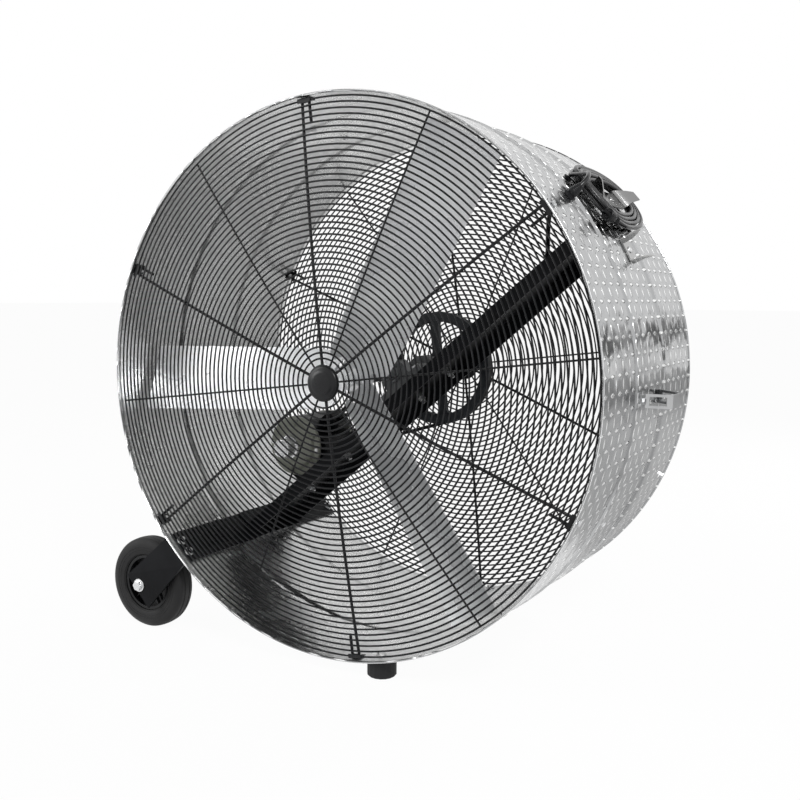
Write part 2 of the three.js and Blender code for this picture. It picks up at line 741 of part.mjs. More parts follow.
function makeBlade(angle) {
  const radii = [bladeRoot, bladeFlat, 255, 350, 445, bladeTip];
  const chord = [-1, -0.5, 0, 0.5, 1];
  const half = bladeSheet / 2 / Math.cos(radians(bladePitch));
  const points = [half, -half].flatMap((lift) => radii.flatMap(
    (radius) => chord.map((across) => bladePoint(radius, across, lift))));
  const count = chord.length;
  const sheet = radii.length * count;
  const index = [];
  const quad = (a, b, c, d) => index.push(a, b, c, a, c, d);
  for (let i = 0; i < radii.length - 1; i += 1) {
    for (let j = 0; j < count - 1; j += 1) {
      const corner = i * count + j;
      quad(corner, corner + 1, corner + count + 1, corner + count);
      quad(sheet + corner, sheet + corner + count, sheet + corner + count + 1, sheet + corner + 1);
    }
    const [low, high] = [i * count, i * count + count - 1];
    quad(low, low + count, sheet + low + count, sheet + low);
    quad(high, sheet + high, sheet + high + count, high + count);
  }
  for (let j = 0; j < count - 1; j += 1) {
    const last = sheet - count + j;
    quad(j, sheet + j, sheet + j + 1, j + 1);
    quad(last, last + 1, sheet + last + 1, sheet + last);
  }
  const geometry = new THREE.BufferGeometry();
  geometry.setAttribute('position', new THREE.Float32BufferAttribute(points.flat(), 3));
  geometry.setIndex(index);
  const holes = rivetPlaces.map((radius) => rodAlongY(
    rivetRadius + boreGap, bladePlane - 40, bladePlane + 40, 6).translate(radius, 0, 0));
  return atWall(toGeometry(without(toSolid(geometry), holes)), angle);
}

const bladeAngles = Array.from({ length: bladeCount }, (_, i) => bladeClock + (360 / bladeCount) * i);

// The hub's arms lie behind the blades' roots and are riveted through them.
function makeHub() {
  const slope = Math.tan(radians(bladePitch));
  const front = bladePlane - bladeSheet / 2 / Math.cos(radians(bladePitch)) - seatGap;
  const near = bladePlane + bladeSheet / 2 / Math.cos(radians(bladePitch)) + seatGap;
  const far = near + armSheet / Math.cos(radians(bladePitch));
  const arms = bladeAngles.map((angle) => {
    const rivets = rivetPlaces.flatMap((radius) => [
      rodAlongY(rivetRadius, front - 1, near + 1, 6).translate(radius, 0, 0),
      rodAlongY(rivetRadius * 2, front - 3, front, 6).translate(radius, 0, 0)]);
    const arm = toGeometry(joined([box(hubRadius - 12, armReach, near, far, -armHalf, armHalf), ...rivets]));
    const points = arm.attributes.position;
    for (let i = 0; i < points.count; i += 1) {
      points.setY(i, points.getY(i) - points.getZ(i) * slope);
    }
    return atWall(arm, angle);
  });
  const boss = rodAlongY(hubRadius, bladePlane - 2, bladePlane - 2 + hubLength, 16);
  return without(joined([boss, ...arms]), [rodAlongY(shaftRadius + boreGap, -400, 0)]);
}

// A grooved rim on wide arms: used for the fan's pulley; the motor's pulley has a solid web.
function grooved(outer, inner, facets) {
  const half = pulleyWidth / 2;
  const mouth = beltTop / 2 + beltFlank;
  const floor = mouth - grooveDepth * Math.tan(radians(17));
  return revolved([
    [inner, -half], [outer - 2, -half], [outer, -half + 2], [outer, -mouth],
    [outer - grooveDepth, -floor], [outer - grooveDepth, floor], [outer, mouth],
    [outer, half - 2], [outer - 2, half], [inner, half], ...(inner > 0 ? [[inner, -half]] : [])], facets);
}

function makeFanPulley() {
  const rimInner = pulleyRadius - grooveDepth - 9;
  const disc = polygon(rimInner + 5, 20);
  const corner = 12;
  for (let i = 0; i < 4; i += 1) {
    const start = radians(pulleyClock + 90 * i);
    const [near, far] = [pulleyHub + 2, rimInner - 2];
    const nearCut = (pulleyArm / 2 + corner / 2) / near;
    const farCut = (pulleyArm / 2 + corner) / far;
    const window = new THREE.Path();
    window.absarc(0, 0, far, start + farCut, start + Math.PI / 2 - farCut);
    const side = radians(pulleyClock + 90 * (i + 1));
    const arm = (along, angle, shift) => [
      along * Math.cos(angle) - shift * Math.sin(angle), along * Math.sin(angle) + shift * Math.cos(angle)];
    window.quadraticCurveTo(...arm(far, side, -pulleyArm / 2), ...arm(far - corner, side, -pulleyArm / 2));
    window.lineTo(...arm(near + corner, side, -pulleyArm / 2));
    window.quadraticCurveTo(...arm(near, side, -pulleyArm / 2),
      near * Math.cos(side - nearCut * 0.9), near * Math.sin(side - nearCut * 0.9));
    window.absarc(0, 0, near, side - nearCut, start + nearCut, true);
    window.quadraticCurveTo(...arm(near, start, pulleyArm / 2), ...arm(near + corner, start, pulleyArm / 2));
    window.lineTo(...arm(far - corner, start, pulleyArm / 2));
    window.quadraticCurveTo(...arm(far, start, pulleyArm / 2),
      far * Math.cos(start + farCut), far * Math.sin(start + farCut));
    disc.holes.push(window);
  }
  const arms = plateAlongY(disc, -6, 6, 2);
  const hub = rodAlongY(pulleyHub, -20, 20, 16);
  return without(joined([grooved(pulleyRadius, rimInner, 24), arms, hub]),
    [rodAlongY(shaftRadius + boreGap, -60, 60)]).translate([0, pulleyPlane, 0]);
}

function makeMotorPulley() {
  return without(toSolid(grooved(smallPulleyRadius, 0, 16)), [rodAlongY(motorShaft + boreGap, -60, 60)]);
}

// ---- motor, in the channel's frame ----
const motorX = motorAlong;
const motorZ = motorBottom + baseSheet + seatGap + motorRadius;
const frontBellSeat = motorFront + bellDepth;
const housingFront = frontBellSeat + seatGap;
const housingRear = motorFront + motorLength;
const rearBellSeat = housingRear + seatGap;
const boxFront = housingFront + 44;

function makeHousing() {
  const shell = revolved([
    [0, housingFront], [motorRadius, housingFront], [motorRadius, housingRear], [0, housingRear]],
  motorFacets);
  const terminals = box(motorRadius - 14, motorRadius + boxDepth - boxCover, boxFront,
    boxFront + boxWidth, -boxHeight / 2, boxHeight / 2);
  return joined([shell, terminals]);
}

function makeBoxCover() {
  const seat = motorRadius + boxDepth - boxCover + seatGap;
  return joined([
    box(seat, seat + boxCover - 1.5, boxFront - 1, boxFront + boxWidth + 1,
      -boxHeight / 2 - 1, boxHeight / 2 + 1),
    box(seat + 1, seat + boxCover, boxFront + 3, boxFront + boxWidth - 3,
      -boxHeight / 2 + 3, boxHeight / 2 - 3)]);
}

// A cast end bell: rim, cone with cooling slots, and the boss that holds the shaft's bearing.
function makeBell(boss) {
  const end = -bellDepth - boss;
  const neck = Math.min(end + 12, -bellDepth - 6);
  const bell = revolved([
    [0, end], [bossRadius - 2, end], [bossRadius, end + 2], [bossRadius + 1, neck],
    [motorRadius - 20, -bellDepth - 6], [motorRadius, -bellDepth + 4], [motorRadius + bellRim, -8],
    [motorRadius + bellRim, 0], [0, 0]], motorFacets);
  const slots = Array.from({ length: bellSlots }, (_, i) => atWall(
    box(bossRadius + 8, motorRadius - 7, -80, -bellDepth + 6, -4, 4), 360 / bellSlots * (i + 0.5)));
  return without(toSolid(bell), [...slots, rodAlongY(roundBore(motorShaft), end - 5, end + shaftSocket)]);
}

function makeMotorBase() {
  const top = motorBottom + baseSheet;
  const half = baseDepth / 2;
  const plate = box(motorX - baseLength / 2, motorX + baseLength / 2, baseMiddle - half, baseMiddle + half,
    motorBottom, top);
  const cheekFoot = baseBoltPitch / 2 - 13;
  const cheeks = [-1, 1].map((side) => plateAlongY(outline([
    [motorX + side * 24, top - 1], [motorX + side * cheekFoot, top - 1],
    [motorX + side * (cheekFoot + 10), motorZ - 30], [motorX + side * (cheekFoot + 2), motorZ - 30]]),
  baseMiddle - half + 8, baseMiddle + half - 8));
  const shell = rodAlongY(motorRadius + seatGap, -200, 300, motorFacets).translate(motorX, 0, motorZ);
  const slots = baseBolts.map(([x, y]) => box(x - 9, x + 9, y - baseBolt - 0.5, y + baseBolt + 0.5,
    motorBottom - 5, top + 5));
  return without(joined([plate, ...cheeks]), [shell, ...slots]);
}

function makeBelt() {
  const distance = Math.hypot(motorX, motorZ);
  const bearing = Math.atan2(motorZ, motorX);
  const tops = [pulleyRadius - beltInset, smallPulleyRadius - beltInset];
  const wrap = Math.acos((tops[0] - tops[1]) / distance);
  const arc = (steps, from, to, x, z, top) => Array.from({ length: steps + 1 }, (_, i) => {
    const turn = from + (to - from) * (i / steps);
    return { turn, x, z, top };
  });
  const stations = [
    ...arc(22, bearing + wrap, bearing + 2 * Math.PI - wrap, 0, 0, tops[0]),
    ...arc(10, bearing - wrap, bearing + wrap, motorX, motorZ, tops[1])];
  const topHalf = beltTop / 2;
  const lowHalf = topHalf - beltDepth * Math.tan(radians(17));
  const points = stations.flatMap(({ turn, x, z, top }) => {
    const at = (radius, y) => [x + radius * Math.cos(turn), y, z + radius * Math.sin(turn)];
    const low = top - beltDepth;
    return [at(low, -lowHalf), at(top, -topHalf), at(top, topHalf), at(low, lowHalf)];
  });
  const index = [];
  for (let i = 0; i < stations.length; i += 1) {
    const next = (i + 1) % stations.length;
    for (let j = 0; j < 4; j += 1) {
      const k = (j + 1) % 4;
      index.push(4 * i + j, 4 * next + k, 4 * next + j, 4 * i + j, 4 * i + k, 4 * next + k);
    }
  }
  const geometry = new THREE.BufferGeometry();
  geometry.setAttribute('position', new THREE.Float32BufferAttribute(points.flat(), 3));
  geometry.setIndex(index);
  geometry.computeVertexNormals();
  return geometry.translate(0, pulleyPlane, 0);
}

// ---- handle and cord brackets ----
function makeHandle() {
  const end = handleStart + handleSpan;
  const low = outerSeat;
  const top = handleTop;
  const lean = Math.atan2(handleRamp, top - low);
  const shift = handleSheet * Math.tan((Math.PI / 2 - lean) / 2);
  const path = [
    [handleStart, low], [handleStart + handleFoot, low], [handleStart + handleFoot + handleRamp, top],
    [end - handleFoot - handleRamp, top], [end - handleFoot, low], [end, low]];
  const back = path.map(([y, r], i) => [
    y + [0, -1, -1, 1, 1, 0][i] * shift, r + handleSheet]).reverse();
  const shape = new THREE.Shape([...path, ...back].map(([y, r]) => new THREE.Vector2(r, y)));
  const strap = new THREE.ExtrudeGeometry(shape, { depth: handleWidth, bevelEnabled: false })
    .translate(0, 0, -handleWidth / 2);
  const windows = [-1, 1].map((side) => box(-windowLength / 2, windowLength / 2, -10, 10,
    -windowWidth / 2, windowWidth / 2)
    .rotateZ(-side * lean)
    .translate((low + top) / 2, handlePlace + side * (handleSpan / 2 - handleFoot - handleRamp / 2), 0));
  const bolts = handleBoltPlaces.flatMap((y) => wallBolt(y, low + handleSheet));
  return atWall(toGeometry(bolts.map(toSolid).reduce((sum, bolt) => sum.add(bolt),
    without(toSolid(strap), windows))), handleAngle);
}

// A small bolt whose head lies on a fitting outside the wall and whose nut is inside it.
function wallBolt(y, top) {
  return [
    rodAlongX(handleBolt, innerSeat - 7, top, 6),
    rodAlongX(handleBolt + 3, top - 0.5, top + 3.5, 6),
    rodAlongX(handleBolt + 3, innerSeat - seatGap - 5, innerSeat - seatGap, 6),
  ].map((piece) => piece.translate(0, y, 0));
}

// A bent plate with two horns that lean outwards and narrow to their tips, at the ends of its length.
function makeCleat(length, width, height, seat, bolts) {
  const half = length / 2;
  const t = cleatSheet;
  const bend = height * 0.6;
  const horn = [
    [seat, half], [seat + bend, half], [seat + height, half + cleatFlare],
    [seat + height, half + cleatFlare - t], [seat + bend + 1, half - t], [seat + t, half - t]];
  const shape = new THREE.Shape([...horn, ...horn.map(([r, y]) => [r, -y]).reverse()]
    .map(([r, y]) => new THREE.Vector2(r, y)));
  const plate = new THREE.ExtrudeGeometry(shape, { depth: width, bevelEnabled: false })
    .translate(0, 0, -width / 2);
  const points = plate.attributes.position;
  for (let i = 0; i < points.count; i += 1) {
    if (points.getX(i) > seat + height - 1) points.setZ(i, points.getZ(i) * cleatTaper);
  }
  return toGeometry(bolts.flatMap((y) => wallBolt(y, seat + t)).map(toSolid)
    .reduce((sum, bolt) => sum.add(bolt), toSolid(plate)));
}

// ---- cord ----
function wallPoint(angle, y, radius) {
  const turn = radians(angle);
  return new THREE.Vector3(radius * Math.cos(turn), y, radius * Math.sin(turn));
}

function tubeAlong(points, steps, sides, tension = 0.5) {
  const curve = new THREE.CatmullRomCurve3(points, false, 'catmullrom', tension);
  const section = new THREE.Shape(Array.from({ length: sides }, (_, i) => new THREE.Vector2(
    cordRadius * Math.cos(2 * Math.PI * i / sides), cordRadius * Math.sin(2 * Math.PI * i / sides))));
  return new THREE.ExtrudeGeometry(section, { steps, bevelEnabled: false, extrudePath: curve });
}

function makeGland() {
  const outer = drumRadius + seatGap;
  return joined([
    rodAlongX(glandRadius, outer, outer + 5, 6),
    rodAlongX(glandRadius - 2, outer + 4, outer + glandHeight, 8),
    rodAlongX(cordRadius + 2, innerSeat - 9, outer + 2),
    rodAlongX(glandRadius, innerSeat - 8, innerSeat - 1, 6)]);
}

// One point of the hank: turn counts loops, four columns inwards, then a row up and outwards again.
function windingPoint(turn) {
  const across = windingColumns - 1;
  const rising = THREE.MathUtils.clamp((turn - across) / rowChange, 0, 1);
  const column = turn < across ? across - turn : Math.max(0, turn - across - rowChange);
  const out = column * windingPitch;
  const angle = 2 * Math.PI * (turn + windingStart);
  const [c, s] = [Math.cos(angle), Math.sin(angle)];
  const round = (value) => Math.sign(value) * Math.abs(value) ** (2 / loopPower);
  const sag = s < 0 ? windingSag * ((1 + c) / 2) ** 1.5 : 0;
  const y = windingPlace - (windingHalfLength + out) * round(c);
  const along = (windingHalfWidth + out + sag) * round(s);
  const radius = windingBase + windingPitch * rising;
  return wallPoint(longCleatAngle + THREE.MathUtils.radToDeg(along / windingBase), y, radius);
}

const loopCount = Math.round(windingTurns * loopSteps);
const loops = Array.from({ length: loopCount + 1 }, (_, i) => windingPoint(windingTurns * (i / loopCount)));

// The tube's straight ends: a point beyond the end of a run, along its last direction.
function beyond(last, before, distance) {
  return last.clone().add(last.clone().sub(before).setLength(distance));
}

const hankStart = beyond(loops[0], loops[1], 2 * cordRadius);
const hankEnd = beyond(loops[loopCount], loops[loopCount - 1], 2 * cordRadius);
const hank = [hankStart, ...loops, hankEnd];

function leastSelfGap(points, apart) {
  let least = Infinity;
  for (let i = 0; i < points.length; i += 1) {
    for (let j = i + apart; j < points.length; j += 1) {
      least = Math.min(least, points[i].distanceTo(points[j]) - 2 * cordRadius);
    }
  }
  return least;
}

const hankCurve = new THREE.CatmullRomCurve3(hank, false, 'centripetal');
const selfGap = leastSelfGap(hankCurve.getPoints(loopCount * 4), 24);
console.log(`cord winding: least self-gap ${selfGap.toFixed(2)} mm,`
  + ` length ${Math.round(hankCurve.getLength())} mm`);

// The lead leaves the gland, arches over to the hank and ends a gap short of it.
const glandTop = drumRadius + seatGap + glandHeight;
const leadEnd = beyond(hank[0], hank[1], seatGap);
const leadPoints = [
  wallPoint(glandAngle, glandPlace, glandTop + seatGap),
  wallPoint(glandAngle, glandPlace, glandTop + 12),
  wallPoint(40.2, -130, windingBase + 32.5),
  wallPoint(41.6, -102, windingBase + 37.5),
  wallPoint(43, -76, windingBase + 25.5),
  beyond(leadEnd, hank[0], 2.4 * cordRadius),
  leadEnd,
];

// Plug body, strain relief and its three pins, pointing away from the end of the hank.
function makePlug() {
  const body = revolved([
    [0, 0], [reliefRadius - 1, 0], [reliefRadius, reliefLength], [plugRadius - 3, reliefLength + 4],
    [plugRadius, reliefLength + 12], [plugRadius, plugLength], [plugRadius - 2, plugLength + 2],
    [0, plugLength + 2]], 12);
  const blade = (x) => box(x - 0.8, x + 0.8, plugLength, plugLength + pinLength, -3.2 + 3, 3.2 + 3);
  const pin = rodAlongY(2.4, plugLength, plugLength + pinLength + 2, 6).translate(0, 0, -6);
  return toGeometry(joined([body, blade(-6.3), blade(6.3), pin]));
}

function plugTurn(direction) {
  return new THREE.Quaternion().setFromUnitVectors(new THREE.Vector3(0, 1, 0), direction);
}

// ---- assembly ----
const frontGuard = makeGuard();
const middleDisc = rodAlongY(capRadius, capFace - capThickness, capFace + 2, 16);
place(drum, 'drum_shell', makeShell(), treadPlate);
place(drum, 'front_guard', frontGuard, blackWire);
place(drum, 'rear_guard', mirrored(makeGuard([middleDisc])), blackWire);
place(drum, 'front_cap', makeCap(), blackPlastic);
clipAngles.forEach((angle, i) => {
  place(drum, `front_clip_${i + 1}`, makeClip(angle), satinAluminium);
  place(drum, `rear_clip_${i + 1}`, mirrored(makeClip(angle)), satinAluminium);
});
place(drum, 'wheel_strap', makeStrap(), blackPaint);

place(brace, 'bearing_channel', makeChannel(), blackPaint);
place(brace, 'front_bearing', makeBearing(bearingFront), greyCasting);
place(brace, 'rear_bearing', makeBearing(bearingRear), greyCasting);
channelBolts.forEach((spot, i) => {
  const bolt = makeDownBolt(spot, channelFace + seatGap + bearingBase, 16);
  place(brace, `bearing_bolt_${i + 1}`, bolt, zincSteel);
});
baseBolts.forEach((spot, i) => {
  place(brace, `motor_bolt_${i + 1}`, makeDownBolt(spot, motorBottom + baseSheet, 16), zincSteel);
});

place(drum, 'fan_shaft', rodAlongY(shaftRadius, shaftFront, shaftRear), brightSteel);
place(drum, 'fan_hub', makeHub(), blackPaint);
bladeAngles.forEach((angle, i) => place(drum, `blade_${i + 1}`, makeBlade(angle), satinAluminium));
place(drum, 'fan_pulley', makeFanPulley(), greyCasting);

const motor = new THREE.Group();
motor.position.set(motorX, 0, motorZ);
brace.add(motor);
place(motor, 'motor_housing', makeHousing(), blackPaint);
place(motor, 'terminal_box_cover', makeBoxCover(), blackPaint);
const frontBell = toGeometry(makeBell(bossDepth));
place(motor, 'motor_front_bell', frontBell, bellEnamel).position.y = frontBellSeat;
const rearBell = mirrored(toGeometry(makeBell(rearBossDepth)));
place(motor, 'motor_rear_bell', rearBell, bellEnamel).position.y = rearBellSeat;
const rearEnd = rearBellSeat + bellDepth + rearBossDepth;
place(motor, 'motor_shaft', rodAlongY(motorShaft, rearEnd - shaftSocket + 1, shaftRear - 2), brightSteel);
place(motor, 'motor_pulley', makeMotorPulley(), greyCasting).position.y = pulleyPlane;
place(brace, 'motor_base', makeMotorBase(), blackPaint);
place(brace, 'v_belt', makeBelt(), blackRubber);

for (const [name, side] of [['front', 1], ['rear', -1]]) {
  const mirror = (solid) => {
    const geometry = solid.isBufferGeometry ? solid : toGeometry(solid);
    return side > 0 ? geometry : mirrored(geometry);
  };
  place(drum, `${name}_wheel_bracket`, mirror(makeBracket()), blackPaint);
  const wheel = new THREE.Group();
  wheel.position.set(wheelX, side * (frontEdge + wheelOffset), wheelRadius - axisHeight);
  drum.add(wheel);
  place(wheel, `${name}_tyre`, toGeometry(toSolid(makeTyre())), blackRubber);
  place(wheel, `${name}_wheel_hub`, mirror(makeWheelHub()), blackPlastic);
  place(wheel, `${name}_axle_bolt`, mirror(makeAxleBolt()), zincSteel);
  place(drum, `${name}_foot`, mirror(makeFoot()), blackRubber);
  place(drum, `${name}_foot_bolt`, mirror(makeFootBolt()), zincSteel);
}

place(drum, 'carry_handle', makeHandle(), satinAluminium);
const longSeat = drumRadius + beadHeight + seatGap;
place(drum, 'long_cord_cleat', atWall(makeCleat(longCleatLength, cleatWidth, longCleatHeight,
  longSeat, longCleatBolts), longCleatAngle, longCleatPlace), greyCasting);
place(drum, 'short_cord_cleat', atWall(makeCleat(shortCleatLength, shortCleatWidth, shortCleatHeight,
  outerSeat, [0]).rotateX(Math.PI / 2), shortCleatAngle, shortCleatPlace), greyCasting);
place(drum, 'cord_gland', atWall(toGeometry(makeGland()), glandAngle, glandPlace), blackPlastic);
place(drum, 'cord_lead', tubeAlong(leadPoints, 18, loopSides), cordJacket);
place(drum, 'cord_winding', tubeAlong(hank, loopCount + 4, loopSides), cordJacket);
const plug = place(drum, 'plug', makePlug(), blackPlastic);
const plugWay = hankEnd.clone().sub(loops[loopCount]).normalize();
plug.quaternion.copy(plugTurn(plugWay));
plug.position.copy(beyond(hankEnd, loops[loopCount], seatGap));

const coverFace = motorX + motorRadius + boxDepth + seatGap;
const boxMiddle = boxFront + boxWidth / 2;
const webTop = channelFace + cordRadius + 2;
const motorLead = [
  [innerSeat - 9 - seatGap, glandPlace, -2.8], [innerSeat - 22, glandPlace, -3],
  [innerSeat - 49.5, -122, 2], [innerSeat - 87.5, -70, -8], [innerSeat - 129.5, -12, -22],
  [innerSeat - 179.5, 28, webTop], [260, 40, webTop], [100, 40, webTop],
  [0, 40, webTop], [coverFace + 123.7, 50, webTop], [coverFace + 83.7, 60, webTop + 4],
  [coverFace + 55.7, boxMiddle, webTop + 24], [coverFace + 39.7, boxMiddle, motorZ - 18],
  [coverFace + 2.6 * cordRadius, boxMiddle, motorZ],
  [coverFace + seatGap, boxMiddle, motorZ],
].map(([x, y, z]) => new THREE.Vector3(x, y, z));
place(brace, 'motor_lead', tubeAlong(motorLead, 40, loopSides), cordJacket);

export default fan;
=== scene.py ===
"""Looks of a belt-driven drum fan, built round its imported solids, in millimetres until a piece is made."""
import math

import bmesh
import bpy
from mathutils import Matrix, Vector


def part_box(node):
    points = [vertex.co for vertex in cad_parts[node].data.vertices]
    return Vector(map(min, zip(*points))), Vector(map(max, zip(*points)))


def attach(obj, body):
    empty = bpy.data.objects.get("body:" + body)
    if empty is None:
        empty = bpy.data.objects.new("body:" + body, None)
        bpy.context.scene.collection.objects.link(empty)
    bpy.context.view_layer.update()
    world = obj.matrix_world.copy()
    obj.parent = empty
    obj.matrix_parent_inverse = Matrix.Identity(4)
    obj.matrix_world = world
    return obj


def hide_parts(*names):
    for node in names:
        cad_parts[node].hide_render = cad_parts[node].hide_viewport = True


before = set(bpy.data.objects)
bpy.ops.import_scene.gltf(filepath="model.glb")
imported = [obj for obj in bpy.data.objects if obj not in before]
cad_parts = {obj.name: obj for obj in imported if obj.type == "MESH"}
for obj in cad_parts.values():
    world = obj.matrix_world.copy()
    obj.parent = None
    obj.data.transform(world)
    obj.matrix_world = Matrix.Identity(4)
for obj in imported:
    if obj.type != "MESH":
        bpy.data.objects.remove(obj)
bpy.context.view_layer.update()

MM = 0.001
AXIS = 580.0
DRUM = 553.4
SHEET = 2.4
FRONT = -305.0
LIP = 555.0
BRACE = 40.0
STRAP = -135.7


# ---- places ----
def turned(clock, y=0.0):
    """The frame whose X points out at a clock angle from the drum's axis."""
    return Matrix.Translation((0, y, AXIS)) @ Matrix.Rotation(-math.radians(clock), 4, "Y")


def wall_point(clock, y, radius):
    angle = math.radians(clock)
    return Vector((radius * math.cos(angle), y, AXIS + radius * math.sin(angle)))


brace = turned(BRACE)
drum = turned(0)


def lerp(a, b, share):
    return a + (b - a) * share


def clamp(value, low, high):
    return max(low, min(high, value))


# ---- forms, each added to a bmesh ----
def add_mesh(bm, points, faces, matrix=Matrix()):
    verts = [bm.verts.new(matrix @ Vector(p)) for p in points]
    made = []
    for corners in faces:
        try:
            made.append(bm.faces.new([verts[i] for i in corners]))
        except ValueError:
            continue
    return made


def add_lathe(bm, profile, segments, matrix=Matrix()):
    """A profile of [radius, y] revolved about Y. Points on the axis are shared."""
    points, faces, columns = [], [], []
    for radius, y in profile:
        if abs(radius) < 1e-6:
            columns.append([len(points)] * segments)
            points.append((0, y, 0))
            continue
        start = len(points)
        columns.append([start + i for i in range(segments)])
        for i in range(segments):
            angle = 2 * math.pi * i / segments
            points.append((radius * math.cos(angle), y, radius * math.sin(angle)))
    for a, b in zip(columns, columns[1:] + columns[:1]):
        for i in range(segments):
            j = (i + 1) % segments
            corners = list(dict.fromkeys([a[i], a[j], b[j], b[i]]))
            if len(corners) > 2:
                faces.append(corners)
    return add_mesh(bm, points, faces, matrix)


def rounded(profile, size, steps=3):
    """A closed [radius, y] profile with its corners rounded off."""
    result = []
    count = len(profile)
    for i, point in enumerate(profile):
        here = Vector(point)
        before, after = Vector(profile[i - 1]), Vector(profile[(i + 1) % count])
        if abs(here.x) < 1e-6:
            result.append(tuple(here))
            continue
        reach = min(size, (before - here).length / 2.1, (after - here).length / 2.1)
        a = here + (before - here).normalized() * reach
        b = here + (after - here).normalized() * reach
        for k in range(steps + 1):
            t = k / steps
            result.append(tuple(a.lerp(here, t).lerp(here.lerp(b, t), t)))
    return result


def add_rod(bm, radius, low, high, matrix=Matrix(), edge=0.8, segments=32):
    """A rod along Y with soft rims."""
    add_lathe(bm, rounded([(0, low), (radius, low), (radius, high), (0, high)], edge), segments, matrix)


def along_x(matrix):
    """Turns a form made along Y so that it runs along X of the given frame."""
    return matrix @ Matrix.Rotation(-math.pi / 2, 4, "Z")


def against_x(matrix):
    """Turns a form made along -Y so that it runs along X of the given frame."""
    return matrix @ Matrix.Rotation(math.pi / 2, 4, "Z")


def add_slab(bm, outline, low, high, matrix=Matrix(), bevel=0.6):
    """An outline in X and Z drawn out along Y, with soft edges."""
    part = bmesh.new()
    bottom = [part.verts.new((x, low, z)) for x, z in outline]
    top = [part.verts.new((x, high, z)) for x, z in outline]
    part.faces.new(bottom)
    part.faces.new(top[::-1])
    for i in range(len(outline)):
        j = (i + 1) % len(outline)
        part.faces.new([bottom[j], bottom[i], top[i], top[j]])
    if bevel:
        rims = [e for e in part.edges if abs(e.verts[0].co.y - e.verts[1].co.y) < 1e-6]
        bmesh.ops.bevel(part, geom=rims, offset=bevel, segments=2, affect="EDGES", clamp_overlap=True)
    merge(bm, part, matrix)


def add_box(bm, low, high, matrix=Matrix(), bevel=0.8):
    part = bmesh.new()
    size = Vector(high) - Vector(low)
    middle = (Vector(high) + Vector(low)) / 2
    bmesh.ops.create_cube(part, size=1, matrix=Matrix.Translation(middle) @ Matrix.Diagonal((*size, 1)))
    bmesh.ops.bevel(part, geom=part.edges[:], offset=bevel, segments=2, affect="EDGES", clamp_overlap=True)
    merge(bm, part, matrix)


def merge(bm, part, matrix=Matrix()):
    """Moves what another bmesh holds into this one."""
    part.transform(matrix)
    data = bpy.data.meshes.new("part")
    part.to_mesh(data)
    part.free()
    bm.from_mesh(data)
    bpy.data.meshes.remove(data)


def add_hex(bm, across, low, high, matrix=Matrix()):
    """A bolt head or nut along Y: six sides with its corners turned down."""
    outline = [(across * math.cos(math.pi * i / 3), across * math.sin(math.pi * i / 3)) for i in range(6)]
    add_slab(bm, outline, low, high, matrix, 0.9)


def add_dome(bm, radius, height, base, matrix=Matrix(), segments=28):
    """A button head that stands on base and rises along -Y."""
    angles = [math.radians(degrees) for degrees in range(0, 86, 12)]
    rise = [(radius * math.cos(a), base - height * math.sin(a)) for a in angles]
    add_lathe(bm, [(0, base), *rise, (0, base - height)], segments, matrix)


def add_tube(bm, points, radius, sides=10):
    """A round wire through points."""
    points = [Vector(p) for p in points]
    count = len(points)
    ways = []
    for i in range(count):
        way = points[min(i + 1, count - 1)] - points[max(i - 1, 0)]
        ways.append(way.normalized())
    normal = ways[0].orthogonal().normalized()
    rings = []
    for point, way in zip(points, ways):
        normal = (normal - way * normal.dot(way)).normalized()
        side = way.cross(normal)
        rings.append([bm.verts.new(point + (normal * math.cos(a) + side * math.sin(a)) * radius)
                      for a in [2 * math.pi * k / sides for k in range(sides)]])
    for a, b in zip(rings, rings[1:]):
        for k in range(sides):
            bm.faces.new([a[k], a[(k + 1) % sides], b[(k + 1) % sides], b[k]])
    bm.faces.new(rings[0][::-1])
    bm.faces.new(rings[-1])


def add_ring(bm, radius, y, wire, segments=160, sides=8, matrix=drum):
    profile = [(radius + wire * math.cos(a), y + wire * math.sin(a))
               for a in [2 * math.pi * k / sides for k in range(sides)]]
    add_lathe(bm, profile, segments, matrix)


def add_sheet(bm, grid, thickness, matrix=Matrix()):
    """A grid of points given a thickness, closed all round."""
    part = bmesh.new()
    rows = [[part.verts.new(p) for p in row] for row in grid]
    for a, b in zip(rows, rows[1:]):
        for i in range(len(a) - 1):
            part.faces.new([a[i], a[i + 1], b[i + 1], b[i]])
    bmesh.ops.recalc_face_normals(part, faces=part.faces[:])
    bmesh.ops.solidify(part, geom=part.faces[:], thickness=thickness)
    merge(bm, part, matrix)


def smooth_path(points, steps=6):
    """A Catmull-Rom curve through points."""
    points = [Vector(p) for p in points]
    full = [points[0] * 2 - points[1], *points, points[-1] * 2 - points[-2]]
    path = []
    for i in range(1, len(full) - 2):
        p0, p1, p2, p3 = full[i - 1:i + 3]
        for k in range(steps):
            t = k / steps
            path.append(0.5 * (2 * p1 + (p2 - p0) * t + (2 * p0 - 5 * p1 + 4 * p2 - p3) * t ** 2
                               + (3 * p1 - p0 - 3 * p2 + p3) * t ** 3))
    path.append(points[-1])
    return path


